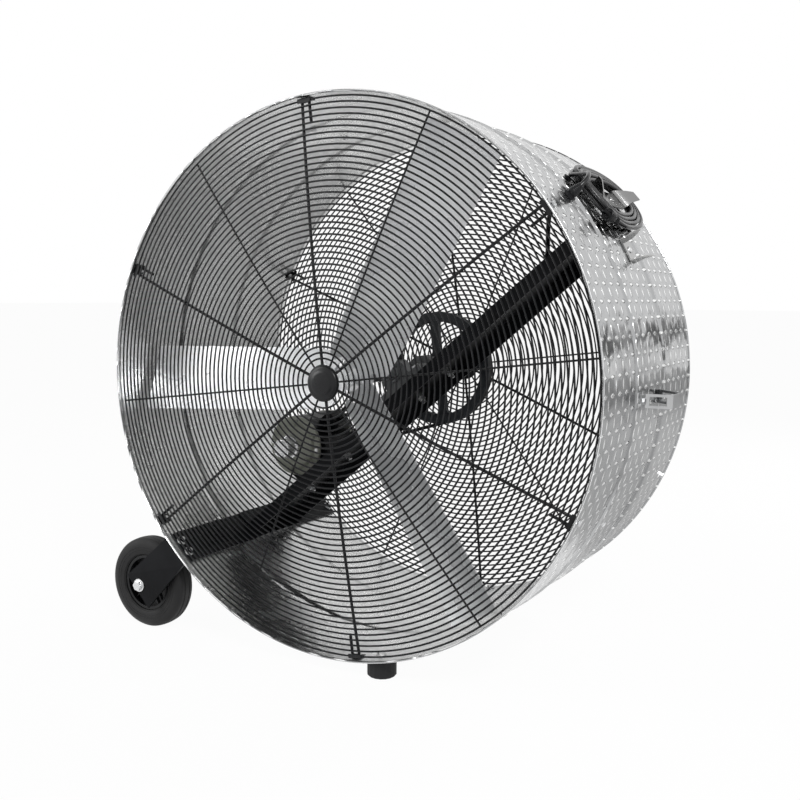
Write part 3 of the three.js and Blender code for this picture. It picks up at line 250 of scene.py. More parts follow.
def piece(name, bm, material, body, nodes, angle=32):
    """Makes the object in metres, smooth but for edges sharper than the angle."""
    bmesh.ops.remove_doubles(bm, verts=bm.verts[:], dist=0.001)
    bmesh.ops.recalc_face_normals(bm, faces=bm.faces[:])
    bmesh.ops.scale(bm, vec=(MM, MM, MM), verts=bm.verts[:])
    limit = math.radians(angle)
    for face in bm.faces:
        face.smooth = True
    for edge in bm.edges:
        if len(edge.link_faces) == 2:
            edge.smooth = edge.calc_face_angle(0) < limit
    data = bpy.data.meshes.new(name)
    bm.to_mesh(data)
    bm.free()
    data.materials.append(material)
    obj = bpy.data.objects.new(name, data)
    bpy.context.scene.collection.objects.link(obj)
    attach(obj, body)
    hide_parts(*nodes)
    return obj


# ---- shader nodes ----
def add_node(tree, kind, inputs=(), **settings):
    """A node with its settings, and inputs as (socket, value or output) pairs."""
    node = tree.nodes.new(kind)
    for key, value in settings.items():
        setattr(node, key, value)
    for key, value in inputs:
        socket = node.inputs[key]
        if isinstance(value, bpy.types.NodeSocket):
            tree.links.new(value, socket)
        else:
            socket.default_value = value
    return node


def calc(tree, operation, *values):
    return add_node(tree, "ShaderNodeMath", list(enumerate(values)), operation=operation).outputs[0]


def remap(tree, value, low, high, to_low=0.0, to_high=1.0):
    pairs = [("Value", value), ("From Min", low), ("From Max", high), ("To Min", to_low), ("To Max", to_high)]
    return add_node(tree, "ShaderNodeMapRange", pairs, interpolation_type="SMOOTHSTEP").outputs[0]


def noise(tree, vector, scale, detail=3.0, rough=0.5):
    pairs = [("Vector", vector), ("Scale", scale), ("Detail", detail), ("Roughness", rough)]
    return add_node(tree, "ShaderNodeTexNoise", pairs).outputs["Fac"]


def stretched(tree, vector, scale):
    return add_node(tree, "ShaderNodeMapping", [("Vector", vector), ("Scale", scale)]).outputs[0]


def new_group(name, inputs, outputs):
    """A node group with (name, socket type, default) inputs and (name, socket type) outputs."""
    tree = bpy.data.node_groups.new(name, "ShaderNodeTree")
    for label, kind, value in inputs:
        socket = tree.interface.new_socket(label, in_out="INPUT", socket_type=kind)
        if value is not None:
            socket.default_value = value
    for label, kind in outputs:
        tree.interface.new_socket(label, in_out="OUTPUT", socket_type=kind)
    return tree, tree.nodes.new("NodeGroupInput"), tree.nodes.new("NodeGroupOutput")


def lozenge_group():
    """Raised lozenges round the drum, with others lying across it between them. Height is 0 to 1."""
    tree, start, end = new_group("lozenges", [("Vector", "NodeSocketVector", None)],
                                 [("Height", "NodeSocketFloat")])
    parts = add_node(tree, "ShaderNodeSeparateXYZ", [(0, start.outputs["Vector"])])
    heights = []
    for shift, reach in ((0.0, (0.0125, 0.0048)), (0.5, (0.0048, 0.0125))):
        sides = []
        for axis, pitch in enumerate((0.033, 0.042)):
            steps = calc(tree, "DIVIDE", parts.outputs[axis], pitch)
            cell = calc(tree, "FRACT", calc(tree, "ADD", steps, shift))
            off = calc(tree, "ABSOLUTE", calc(tree, "SUBTRACT", cell, 0.5))
            off = calc(tree, "MULTIPLY", off, pitch / reach[axis])
            sides.append(calc(tree, "POWER", off, 1.8) if reach[axis] > 0.01 else off)
        heights.append(remap(tree, calc(tree, "SUBTRACT", 1.0, calc(tree, "ADD", *sides)), 0.0, 0.55))
    tree.links.new(calc(tree, "MAXIMUM", *heights), end.inputs["Height"])
    return tree


def wear_group():
    """Cloudy variation, fine grain and sparse scratches, each 0 to 1."""
    tree, start, end = new_group("wear", [("Vector", "NodeSocketVector", None)],
                                 [("Cloud", "NodeSocketFloat"), ("Grain", "NodeSocketFloat"),
                                  ("Scratch", "NodeSocketFloat")])
    vector = start.outputs["Vector"]
    tree.links.new(remap(tree, noise(tree, vector, 9.0, 4.0), 0.3, 0.7), end.inputs["Cloud"])
    tree.links.new(noise(tree, vector, 700.0, 2.0), end.inputs["Grain"])
    line = noise(tree, stretched(tree, vector, (40.0, 700.0, 40.0)), 1.0, 2.0)
    tree.links.new(remap(tree, line, 0.66, 0.76), end.inputs["Scratch"])
    return tree


LOZENGES = lozenge_group()
WEAR = wear_group()


def new_material(name, color, metallic, roughness, **settings):
    """A material with a wear group on its coordinates; returns what a recipe needs to go on."""
    material = bpy.data.materials.new(name)
    material.use_nodes = True
    tree = material.node_tree
    shader = tree.nodes["Principled BSDF"]
    shader.inputs["Base Color"].default_value = (*color, 1)
    shader.inputs["Metallic"].default_value = metallic
    shader.inputs["Roughness"].default_value = roughness
    for key, value in settings.items():
        shader.inputs[key.replace("_", " ")].default_value = value
    coords = tree.nodes.new("ShaderNodeTexCoord")
    wear = add_node(tree, "ShaderNodeGroup", node_tree=WEAR)
    tree.links.new(coords.outputs["Object"], wear.inputs["Vector"])
    return material, tree, shader, coords, wear


def tint(tree, shader, factor, low, high):
    mix = add_node(tree, "ShaderNodeMix", data_type="RGBA")
    mix.inputs[6].default_value = (*low, 1)
    mix.inputs[7].default_value = (*high, 1)
    tree.links.new(factor, mix.inputs["Factor"])
    tree.links.new(mix.outputs[2], shader.inputs["Base Color"])


def bump(tree, shader, height, distance, strength=1.0, under=None):
    pairs = [("Height", height), ("Distance", distance), ("Strength", strength)]
    node = add_node(tree, "ShaderNodeBump", pairs)
    if under:
        tree.links.new(under.outputs[0], node.inputs["Normal"])
    tree.links.new(node.outputs[0], shader.inputs["Normal"])
    return node


def coated(name, low, high, rough, grain=0.00006, shine=0.5):
    """Painted, moulded or rubber skin: cloudy tone, uneven gloss and a fine grain."""
    material, tree, shader, _, wear = new_material(name, low, 0.0, rough[0], Specular_IOR_Level=shine)
    tint(tree, shader, wear.outputs["Cloud"], low, high)
    gloss = remap(tree, wear.outputs["Cloud"], 0.0, 1.0, rough[0], rough[1])
    tree.links.new(gloss, shader.inputs["Roughness"])
    bump(tree, shader, wear.outputs["Grain"], grain)
    return material


def tread_plate():
    """Bright plate with lozenges whose raised crests carry a painted highlight: near white against dark grey
    flats. The inside shows the lozenges only as faint marks.
    """
    material, tree, shader, coords, wear = new_material("tread_plate", (0.8, 0.81, 0.82), 1.0, 0.12)
    inside = add_node(tree, "ShaderNodeAttribute", attribute_name="inside").outputs["Fac"]
    cloud = remap(tree, wear.outputs["Cloud"], 0.0, 1.0, 0.14, 0.26)
    rough = calc(tree, "ADD", cloud, calc(tree, "MULTIPLY", inside, 0.08))
    tree.links.new(rough, shader.inputs["Roughness"])
    form = add_node(tree, "ShaderNodeGroup", node_tree=LOZENGES)
    tree.links.new(coords.outputs["UV"], form.inputs["Vector"])
    wave = noise(tree, stretched(tree, coords.outputs["UV"], (14.0, 14.0, 14.0)), 1.0, 2.0)
    share = calc(tree, "SUBTRACT", 1.0, calc(tree, "MULTIPLY", inside, 0.9))
    first = bump(tree, shader, calc(tree, "MULTIPLY", wave, share), 0.005)
    bump(tree, shader, calc(tree, "MULTIPLY", form.outputs[0], share), 0.0022, under=first)
    # Painted highlight: the lozenge crests are coloured near white and the flats between them dark grey,
    # standing in for light caught on the crests. The inside, which has no lozenges, is lifted three quarters
    # of the way to the crest tone.
    painted_crest_highlight = calc(tree, "MAXIMUM", form.outputs[0], calc(tree, "MULTIPLY", inside, 0.75))
    tint(tree, shader, painted_crest_highlight, (0.42, 0.425, 0.43), (0.98, 0.985, 0.98))
    return material


def brushed(name, low, high, rough, line=(8.0, 8.0, 420.0), coords_name="Object", metal=1.0):
    """Rolled or ground metal with fine parallel lines."""
    material, tree, shader, coords, wear = new_material(name, low, metal, rough[0])
    lines = noise(tree, stretched(tree, coords.outputs[coords_name], line), 1.0, 3.0)
    tint(tree, shader, wear.outputs["Cloud"], low, high)
    cloud = calc(tree, "MULTIPLY", wear.outputs["Cloud"], 0.5)
    both = calc(tree, "ADD", calc(tree, "MULTIPLY", lines, 0.5), cloud)
    tree.links.new(remap(tree, both, 0.2, 0.8, rough[0], rough[1]), shader.inputs["Roughness"])
    bump(tree, shader, lines, 0.00004)
    return material


MATERIALS = {
    "cleat_steel": brushed("cleat_steel", (0.28, 0.28, 0.28), (0.6, 0.6, 0.59), (0.15, 0.3)),
    "tread_plate": tread_plate(),
    "satin_aluminium": brushed("satin_aluminium",
                               (0.8, 0.81, 0.83), (0.92, 0.925, 0.935), (0.22, 0.38),
                               coords_name="UV", metal=0.55),
    "rolled_edge": brushed("rolled_edge", (0.86, 0.865, 0.87), (0.95, 0.95, 0.95), (0.25, 0.35), metal=0.5),
    "handle_steel": brushed("handle_steel", (0.3, 0.305, 0.31), (0.5, 0.505, 0.51), (0.2, 0.35)),
    "black_paint": coated("black_paint",
                          (0.004, 0.0042, 0.005), (0.008, 0.0085, 0.01), (0.25, 0.4), shine=0.1),
    "black_wire": coated("black_wire",
                         (0.006, 0.0063, 0.007), (0.012, 0.0125, 0.014), (0.3, 0.42), shine=0.25),
    "grey_casting": coated("grey_casting",
                           (0.022, 0.025, 0.029), (0.04, 0.044, 0.05), (0.4, 0.6), 0.0002, 0.3),
    "bearing_grey": coated("bearing_grey", (0.06, 0.063, 0.065), (0.12, 0.124, 0.126), (0.25, 0.45), 0.0002),
    "zinc_steel": brushed("zinc_steel", (0.7, 0.71, 0.72), (0.85, 0.85, 0.85), (0.2, 0.35), metal=0.7),
    "bright_steel": brushed("bright_steel",
                            (0.55, 0.57, 0.58), (0.72, 0.73, 0.74), (0.15, 0.3), (500.0, 6.0, 500.0)),
    "bell_enamel": coated("bell_enamel", (0.3, 0.31, 0.26), (0.4, 0.41, 0.35), (0.35, 0.5), 0.0001),
    "black_rubber": coated("black_rubber",
                           (0.006, 0.006, 0.0065), (0.011, 0.011, 0.0115), (0.5, 0.7), 0.0001, 0.35),
    "black_plastic": coated("black_plastic",
                            (0.004, 0.0042, 0.005), (0.008, 0.0085, 0.01), (0.25, 0.4), 0.00005, 0.3),
    "cord_jacket": coated("cord_jacket", (0.008, 0.008, 0.009), (0.014, 0.014, 0.015), (0.2, 0.34), 0.0001),
}


def make(name, bm, slot, body="frame", nodes=None, angle=32, finish=None):
    return piece(name, bm, MATERIALS[finish or slot], body, nodes or [], angle)


# ---- camera, light and floor ----
def make_camera():
    data = bpy.data.cameras.new("camera")
    data.lens = 45.05
    data.sensor_width = 36
    camera = bpy.data.objects.new("camera", data)
    bpy.context.scene.collection.objects.link(camera)
    camera.location = (1.0673, -1.9295, 0.7498)
    way = Vector((0.1632, -0.305, 0.5556)) - camera.location
    turn = way.to_track_quat("-Z", "Y").to_matrix().to_4x4() @ Matrix.Rotation(math.radians(0.39), 4, "Z")
    camera.matrix_world = Matrix.Translation(camera.location) @ turn
    bpy.context.scene.camera = camera


def make_light(name, place, target, size, power, mirrored=False):
    data = bpy.data.lights.new(name, "AREA")
    data.shape = "RECTANGLE"
    data.size, data.size_y = size
    data.energy = power
    light = bpy.data.objects.new(name, data)
    bpy.context.scene.collection.objects.link(light)
    light.location = place
    light.visible_glossy = mirrored
    light.rotation_euler = (Vector(target) - Vector(place)).to_track_quat("-Z", "Y").to_euler()


def make_world():
    world = bpy.data.worlds.new("studio")
    bpy.context.scene.world = world
    world.use_nodes = True
    tree = world.node_tree
    back = tree.nodes["Background"]
    path = tree.nodes.new("ShaderNodeLightPath")
    seen = calc(tree, "MAXIMUM", path.outputs["Is Camera Ray"], path.outputs["Is Glossy Ray"])
    seen = calc(tree, "MAXIMUM", seen, path.outputs["Is Transmission Ray"])
    back.inputs["Color"].default_value = (1, 1, 1, 1)
    tree.links.new(remap(tree, seen, 0.0, 1.0, 0.35, 1.0), back.inputs["Strength"])


def make_floor():
    data = bpy.data.meshes.new("floor")
    data.from_pydata([(-60, -60, 0), (60, -60, 0), (60, 60, 0), (-60, 60, 0)], [], [(0, 1, 2, 3)])
    floor = bpy.data.objects.new("floor", data)
    bpy.context.scene.collection.objects.link(floor)
    material = bpy.data.materials.new("floor")
    material.use_nodes = True
    tree = material.node_tree
    tree.nodes.clear()
    path = tree.nodes.new("ShaderNodeLightPath")
    matt = add_node(tree, "ShaderNodeBsdfDiffuse", [("Color", (0.9, 0.9, 0.9, 1))])
    glow = add_node(tree, "ShaderNodeEmission", [("Color", (1, 1, 1, 1)), ("Strength", 1.0)])
    seen = calc(tree, "MAXIMUM", path.outputs["Is Camera Ray"], path.outputs["Is Glossy Ray"])
    share = calc(tree, "MULTIPLY", seen, 0.96)
    mix = add_node(tree, "ShaderNodeMixShader", [(0, share), (1, matt.outputs[0]), (2, glow.outputs[0])])
    end = tree.nodes.new("ShaderNodeOutputMaterial")
    tree.links.new(mix.outputs[0], end.inputs["Surface"])
    data.materials.append(material)


def make_card(name, corners, shade=0.012):
    """A grey card out of the camera's sight, seen only in reflections on bright metal."""
    data = bpy.data.meshes.new(name)
    data.from_pydata(corners, [], [(0, 1, 2, 3)])
    card = bpy.data.objects.new(name, data)
    bpy.context.scene.collection.objects.link(card)
    material = bpy.data.materials.new(name)
    material.use_nodes = True
    material.node_tree.nodes["Principled BSDF"].inputs["Base Color"].default_value = (shade, shade, shade, 1)
    data.materials.append(material)
    card.visible_camera = False
    card.visible_shadow = False
    card.visible_diffuse = False


make_camera()
make_world()
make_floor()
make_light("key", (2.6, -2.4, 3.2), (0, 0, 0.6), (1.3, 1.0), 85, mirrored=True)
make_light("left", (-3.0, -2.6, 1.9), (0, 0, 0.6), (1.6, 2.4), 60, mirrored=True)
make_light("back", (1.5, 3.0, 2.2), (0, 0, 0.6), (2.4, 1.6), 60)
make_card("card_right", [(3.6, -2.2, 0.0), (3.6, 0.6, 0.0), (3.6, 0.6, 0.5), (3.6, -2.2, 0.5)], 0.35)
make_card("card_back", [(-2.0, 4.0, 0.0), (4.4, 4.0, 0.0), (4.4, 4.0, 0.42), (-2.0, 4.0, 0.42)], 0.6)
make_card("card_band", [(0.2, 4.0, 0.75), (4.4, 4.0, 0.75), (4.4, 4.0, 1.05), (0.2, 4.0, 1.05)], 0.15)
make_card("card_floor", [(-0.6, 0.45, 0.01), (3.4, 0.45, 0.01), (3.4, 3.9, 0.01), (-0.6, 3.9, 0.01)], 0.6)
make_card("card_near", [(-0.3, -2.5, 0.01), (1.5, -2.5, 0.01), (1.5, -1.1, 0.01), (-0.3, -1.1, 0.01)], 0.35)
make_card("card_top", [(-0.5, -1.5, 3.6), (1.2, -1.5, 3.6), (1.2, 1.5, 3.6), (-0.5, 1.5, 3.6)])

# ---- cord ----
CORD = 4.5
HANK_TURNS = 6.74
HANK_STEPS = 24
GLAND_CLOCK = 39.7
GLAND_Y = -143.0


def hank_point(turn):
    """The stored cord round the long cleat: four columns inwards, a step up a row, then outwards."""
    across = 3
    rising = clamp((turn - across) / 0.22, 0, 1)
    column = across - turn if turn < across else max(0.0, turn - across - 0.22)
    out = column * 10.4
    angle = 2 * math.pi * (turn + 0.12)
    c, s = math.cos(angle), math.sin(angle)

    def rounder(value):
        return math.copysign(abs(value) ** (2 / 2.6), value)

    sag = 26 * ((1 + c) / 2) ** 1.5 if s < 0 else 0
    y = 90 - (97 + out) * rounder(c)
    along = (42 + out + sag) * rounder(s)
    return wall_point(41.5 + math.degrees(along / 562.5), y, 562.5 + 10.4 * rising)


def beyond(last, before, distance):
    return last + (last - before).normalized() * distance


def make_cord():
    count = round(HANK_TURNS * HANK_STEPS)
    loops = [hank_point(HANK_TURNS * i / count) for i in range(count + 1)]
    start = beyond(loops[0], loops[1], 2 * CORD)
    end = beyond(loops[-1], loops[-2], 2 * CORD)
    lead_end = beyond(start, loops[0], 0.3)
    top = DRUM + 0.3 + 14
    lead = [wall_point(GLAND_CLOCK, GLAND_Y, top - 6), wall_point(GLAND_CLOCK, GLAND_Y, top + 12),
            wall_point(40.2, -130, 595), wall_point(41.6, -102, 600), wall_point(43, -76, 588),
            beyond(lead_end, start, 2.4 * CORD)]
    path = smooth_path([*lead, start, *loops, end], 4)
    bm = bmesh.new()
    add_tube(bm, path, CORD, 12)
    cord = make("power_cord", bm, "cord_jacket", nodes=["cord_lead", "cord_winding"], angle=60)
    return cord, path, end, loops[-1]


def make_plug(end, before):
    way = (end - before).normalized()
    turn = Vector((0, 1, 0)).rotation_difference(way).to_matrix().to_4x4()
    place = Matrix.Translation(end + way * 0.3) @ turn
    bm = bmesh.new()
    body = [(0, 0), (6.6, 0), (8, 14), (10, 18), (13, 26), (13, 40), (11, 42), (0, 42)]
    add_lathe(bm, rounded(body, 1.2), 32, place)
    for k in range(5):
        add_ring(bm, 7.1 + 0.22 * k, 2 + 2.6 * k, 0.9, 24, 6, place)
    for side in (-1, 1):
        add_box(bm, (side * 6.3 - 0.8, 40, -0.2), (side * 6.3 + 0.8, 56, 6.2), place, 0.4)
    add_rod(bm, 2.4, 40, 58, place @ Matrix.Translation((0, 0, -6)), 1.0, 16)
    return make("cord_plug", bm, "black_plastic", nodes=["plug"])


cord, cord_path, cord_end, cord_before = make_cord()
plug = make_plug(cord_end, cord_before)


def make_gland():
    """A nut on each side of the wall and the tapered boot the lead leaves through."""
    out = along_x(turned(GLAND_CLOCK, GLAND_Y))
    bm = bmesh.new()
    add_hex(bm, 13, DRUM + 0.3, DRUM + 6, out)
    boot = [(0, DRUM - 9), (9, DRUM - 9), (9, DRUM + 8), (10, DRUM + 10), (10, DRUM + 14), (6, DRUM + 29),
            (5.6, DRUM + 31), (0, DRUM + 31)]
    add_lathe(bm, rounded(boot, 0.8), 32, out)
    for k in range(4):
        add_ring(bm, 9.1 - 0.95 * k, DRUM + 16.5 + 3.4 * k, 0.7, 32, 6, out)
    add_hex(bm, 12, DRUM - 10, DRUM - 4.4, out)
    return make("gland_boot", bm, "black_plastic", nodes=["cord_gland"])


def make_lead():
    """The lead from the gland along the channel to the motor's terminal box."""
    box_y, box_z = 65.3, 38.6
    route = [(540.3, -143, -2.8), (527.6, -143, -3), (500, -122, 2), (462, -70, -8), (420, -12, -22),
             (370, 28, -30.5), (260, 40, -30.5), (180, 40, -30.5), (100, 40, -30.5), (0, 40, -30.5),
             (-109.7, 50, -30.5), (-149.7, 60, -26.5), (-177.7, box_y, -6.5), (-197.7, box_y, 20.6),
             (-218, box_y, 36), (-233.4, box_y, box_z)]
    path = smooth_path([brace @ Vector(p) for p in route], 5)
    bm = bmesh.new()
    add_tube(bm, path, CORD, 12)
    lead = make("motor_lead_tube", bm, "cord_jacket", nodes=["motor_lead"], angle=60)
    bm = bmesh.new()
    place = along_x(brace @ Matrix.Translation((0, box_y, box_z)))
    boot = [(0, -233.4), (10, -233.4), (10, -229), (8, -227), (5.8, -219), (0, -219)]
    add_lathe(bm, rounded(boot, 0.8), 32, place)
    make("terminal_box_boot", bm, "black_plastic")


make_gland()
make_lead()


# ---- drum ----
def make_drum():
    """The wall with two rolled beads, a folded lip at each end and its pattern's coordinates."""
    def bead(y):
        rises = [math.cos(math.pi * clamp((y - at) / 20, -0.5, 0.5)) for at in (FRONT + 200, FRONT + 398)]
        return sum(3.3 * max(0.0, rise) for rise in rises)

    steps = [FRONT + 6 + (610 - 12) * i / 120 for i in range(121)]
    outside = [(DRUM - 0.2 + bead(y), y) for y in steps]
    inside = [(DRUM - SHEET - 0.2 + bead(y), y) for y in reversed(steps)]
    front_lip = [(DRUM - SHEET, FRONT + 1), (DRUM - SHEET + 1, FRONT), (LIP - 1.2, FRONT),
                 (LIP, FRONT + 1.2), (LIP, FRONT + 4.8)]
    rear_lip = [(r, -y) for r, y in reversed(front_lip)]
    profile = [*front_lip, *outside, *rear_lip, *inside]
    bm = bmesh.new()
    add_lathe(bm, profile, 288, drum)
    uv = bm.loops.layers.uv.new("UVMap")
    mark = bm.verts.layers.float.new("inside")
    for vert in bm.verts:
        reach = math.hypot(vert.co.x, vert.co.z - AXIS)
        vert[mark] = 1.0 if reach < DRUM - 1.4 + bead(vert.co.y) else 0.0
    for face in bm.faces:
        middle = face.calc_center_median()
        base = math.atan2(middle.z - AXIS, middle.x)
        for loop in face.loops:
            angle = math.atan2(loop.vert.co.z - AXIS, loop.vert.co.x)
            angle += 2 * math.pi * round((base - angle) / (2 * math.pi))
            loop[uv].uv = (angle * DRUM * MM, loop.vert.co.y * MM)
    make("drum_wall", bm, "tread_plate", nodes=["drum_shell"])
    bm = bmesh.new()
    for y in (FRONT + 1.7, -FRONT - 1.7):
        add_ring(bm, LIP - 1.7, y, 1.7, 288, 12)
    return make("drum_edges", bm, "tread_plate", finish="rolled_edge")


make_drum()


# ---- guards ----
RINGS = 45
GUARD = 545.5
GUARD_FACE = FRONT + 12
SPOKE_CLOCK = 97.0


def guard_height(radius):
    return GUARD_FACE - 25 * (1 - (radius / GUARD) ** 2)


def guard_wire(bm, clock, points, wire, matrix):
    """A bent wire given as [radius, y, across] points at a clock angle."""
    place = matrix @ Matrix.Rotation(-math.radians(clock), 4, "Y")
    add_tube(bm, [place @ Vector((r, y, z)) for r, y, z in points], wire, 10)


def make_guard(name, node, matrix):
    bm = bmesh.new()
    step = (GUARD - 48) / (RINGS - 1)
    for i in range(RINGS):
        radius = GUARD - step * i
        add_ring(bm, radius, guard_height(radius), 1.9, 144 if radius > 250 else 72, 6, matrix)
    for i in range(12):
        thick = i % 2 == 0
        wire = 3.0 if thick else 1.9
        lift = 1.9 + wire - 0.8
        reach = 541.0 if thick else GUARD
        line = [(r, guard_height(r) + lift, 0) for r in [34 + (reach - 34) * k / 14 for k in range(15)]]
        if thick:
            y = guard_height(GUARD) + lift
            bend = [(reach + 2.2, y, 1.2), (reach + 3, y, 4)]
            line += [*bend, (reach + 3, y, 8), (reach + 3, y, 12), (reach + 2.2, y, 14.8), (reach, y, 16)]
            line += [(reach - 20, y, 16), (reach - 38, y, 16)]
            line = [(r, h, -z) for r, h, z in line]
        guard_wire(bm, SPOKE_CLOCK - 30 * i, line, wire, matrix)
    face = guard_height(42) - 1
    plate = rounded([(0, face), (36, face), (36, face + 3), (0, face + 3)], 1.0)
    add_lathe(bm, plate, 64, matrix)
    return make(name, bm, "black_wire", nodes=[node], angle=50)


mirror = Matrix.Translation((0, 0, AXIS)) @ Matrix.Diagonal((1, -1, 1, 1))
make_guard("front_guard_wires", "front_guard", drum)
make_guard("rear_guard_wires", "rear_guard", mirror)


def make_cap():
    face = guard_height(42) - 1 - 0.3
    bm = bmesh.new()
    profile = [(0, face - 7), (19, face - 6.7), (22.5, face - 6.3), (24.2, face - 5.5), (25.6, face - 5.2),
               (29, face - 4.9), (31.6, face - 4.2), (33.4, face - 2.8), (34.2, face - 1.5), (34.2, face),
               (0, face)]
    add_lathe(bm, profile, 72, drum)
    return make("centre_cap", bm, "black_plastic", nodes=["front_cap"])


make_cap()


# ---- rotor ----
def blade_point(radius, across):
    share = clamp((radius - 160) / (533 - 160), 0, 1)
    half = lerp(61, 70, (radius - 62) / (533 - 62)) - 4 * math.exp(-((radius - 62) / 60) ** 2)
    pitch = math.radians(lerp(27, 23, share))
    w = across * half
    bow = share * 9 * (1 - across ** 2)
    return Vector((math.sqrt(max(radius ** 2 - w ** 2, 1)), -215 + bow - w * math.tan(pitch), w))


def make_blade(index):
    clock = 62 - 120 * index
    place = turned(clock)
    bm = bmesh.new()
    reach = [48, *[lerp(62, 533, i / 40) for i in range(41)]]
    across = [lerp(-1, 1, j / 16) for j in range(17)]
    grid = [[blade_point(radius, share * min(1, radius / 66)) for share in across] for radius in reach]
    add_sheet(bm, grid, -2.5, place)
    uv = bm.loops.layers.uv.new("UVMap")
    back = place.inverted()
    for face in bm.faces:
        for loop in face.loops:
            local = back @ loop.vert.co
            loop[uv].uv = (local.z * MM, local.x * MM)
    return make(f"blade_sheet_{index + 1}", bm, "satin_aluminium", "rotor", [f"blade_{index + 1}"])


for index in range(3):
    make_blade(index)


# ---- wheels ----
WHEEL_X = -500.435
WHEEL_Y = 261
WHEEL_RADIUS = 102


def wheel_place(side):
    """A wheel's frame, with -Y pointing out of the fan."""
    return Matrix.Translation((WHEEL_X, -side * WHEEL_Y, WHEEL_RADIUS)) @ Matrix.Diagonal((1, side, 1, 1))


def make_wheel(name, side):
    centre = wheel_place(side)
    bm = bmesh.new()
    outer = []
    for k in range(25):
        y = lerp(-15, 15, k / 24)
        groove = 1.6 if 0.35 < abs(y) / 15 < 0.55 else 0.0
        outer.append((WHEEL_RADIUS - groove - 1.2 * (y / 15) ** 2, y))
    wall = [(98.5, 19), (93, 23), (86, 25), (72, 25), (66, 23.4), (63, 20)]
    profile = [*[(r, -y) for r, y in reversed(wall)], *outer, *wall]
    add_lathe(bm, profile, 96, centre)
    for ring in (75, 81):
        add_ring(bm, ring, -25, 0.6, 96, 6, centre)
    make(f"{name}_wheel_tyre", bm, "black_rubber", f"{name}_wheel", [f"{name}_tyre"])
    bm = bmesh.new()
    rim = rounded([(55.5, -19), (62.6, -19), (62.6, 19), (55.5, 19)], 1.5)
    add_lathe(bm, rim, 96, centre)
    for k in range(5):
        turn = centre @ Matrix.Rotation(math.radians(72 * k + 62), 4, "Y")
        add_slab(bm, [(14, -14), (56, -10), (56, 10), (14, 14)], -7, 7, turn, 2.0)
        add_slab(bm, [(14, -1.5), (56, -1.5), (56, 1.5), (14, 1.5)], -12, 12, turn, 0.8)
    add_lathe(bm, rounded([(16, -3), (57, -3), (57, 3), (16, 3)], 0.8), 96, centre)
    boss = rounded([(8.4, -38.5), (17, -38.5), (20, -30), (20, 25), (18, 33), (8.4, 33)], 1.2)
    add_lathe(bm, boss, 48, centre)
    return make(f"{name}_wheel_centre", bm, "black_plastic", f"{name}_wheel", [f"{name}_wheel_hub"])


make_wheel("front", 1)
make_wheel("rear", -1)


# ---- clips and wall bolts ----
INNER = 549.5


def make_clip(name, clock, matrix):
    """A dark angle that holds the guard's hook against the wall, and its bright bolt."""
    place = matrix @ Matrix.Rotation(-math.radians(clock), 4, "Y")
    lip = GUARD_FACE - 3.0
    bm = bmesh.new()
    add_box(bm, (INNER - 9, lip, -15), (INNER, lip + 1.7, 15), place, 0.5)
    add_box(bm, (INNER - 1.7, lip, -10), (INNER, GUARD_FACE + 24, 10), place, 0.5)
    make(f"{name}_angle", bm, "black_wire", nodes=[name])
    bm = bmesh.new()
    turn = along_x(place @ Matrix.Translation((0, GUARD_FACE + 15, 0)))
    add_hex(bm, 6.5, DRUM + 0.3, DRUM + 4.4, turn)
    add_rod(bm, 3, INNER - 3, DRUM + 2, turn, 0.4, 20)
    add_hex(bm, 5.6, INNER - 5.6, INNER - 1.6, turn)
    return make(f"{name}_bolt", bm, "zinc_steel")


for index in range(6):
    make_clip(f"front_clip_{index + 1}", 96.2 - 60 * index, drum)
    make_clip(f"rear_clip_{index + 1}", 96.2 - 60 * index, mirror)


def make_wall_bolts():
    """Bright nuts on the strap by each bracket, and the drum's seam rivets and top bolts."""
    bm = bmesh.new()
    for y in (FRONT + 28, -FRONT - 28):
        for across in (-15, 15):
            place = along_x(turned(STRAP, y) @ Matrix.Translation((0, 0, across)))
            add_hex(bm, 9.6, 538.6, 545.6, place)
            add_rod(bm, 4.6, 535.5, 540, place, 0.6, 20)
            add_rod(bm, 10.6, 544.2, 545.8, place, 0.3, 28)
    seam = (-250, -190, -130, -60, 10, 70, 130, 190, 250)
    for clock, spots in ((108, (-96, 33)), (-49.5, seam), (-29.9, (-45,))):
        for y in spots:
            out = against_x(turned(clock, y))
            add_dome(bm, 6, 2.6, -DRUM + 0.4, out)
            add_hex(bm, 6, -DRUM + SHEET - 0.2, -DRUM + 7, out)
    return make("wall_bolts", bm, "zinc_steel")


make_wall_bolts()


def make_axle_bolt(name, side):
    """The wheel's axle: a flanged bright head outside its bracket, and a nut behind the wheel."""
    centre = wheel_place(side)
    bm = bmesh.new()
    add_lathe(bm, rounded([(0, -46.4), (14.5, -46.4), (14.5, -44.4), (0, -44.4)], 0.7), 48, centre)
    add_hex(bm, 11.6, -53.2, -46, centre)
    add_rod(bm, 8, -45, 47, centre, 0.8)
    add_hex(bm, 12.5, 33.4, 42, centre)
    return make(f"{name}_axle", bm, "zinc_steel", nodes=[f"{name}_axle_bolt"])


make_axle_bolt("front", 1)
make_axle_bolt("rear", -1)


# ---- motor ----
MOTOR = (-330.0, 38.3)


def motor_frame():
    return brace @ Matrix.Translation((MOTOR[0], 0, MOTOR[1]))


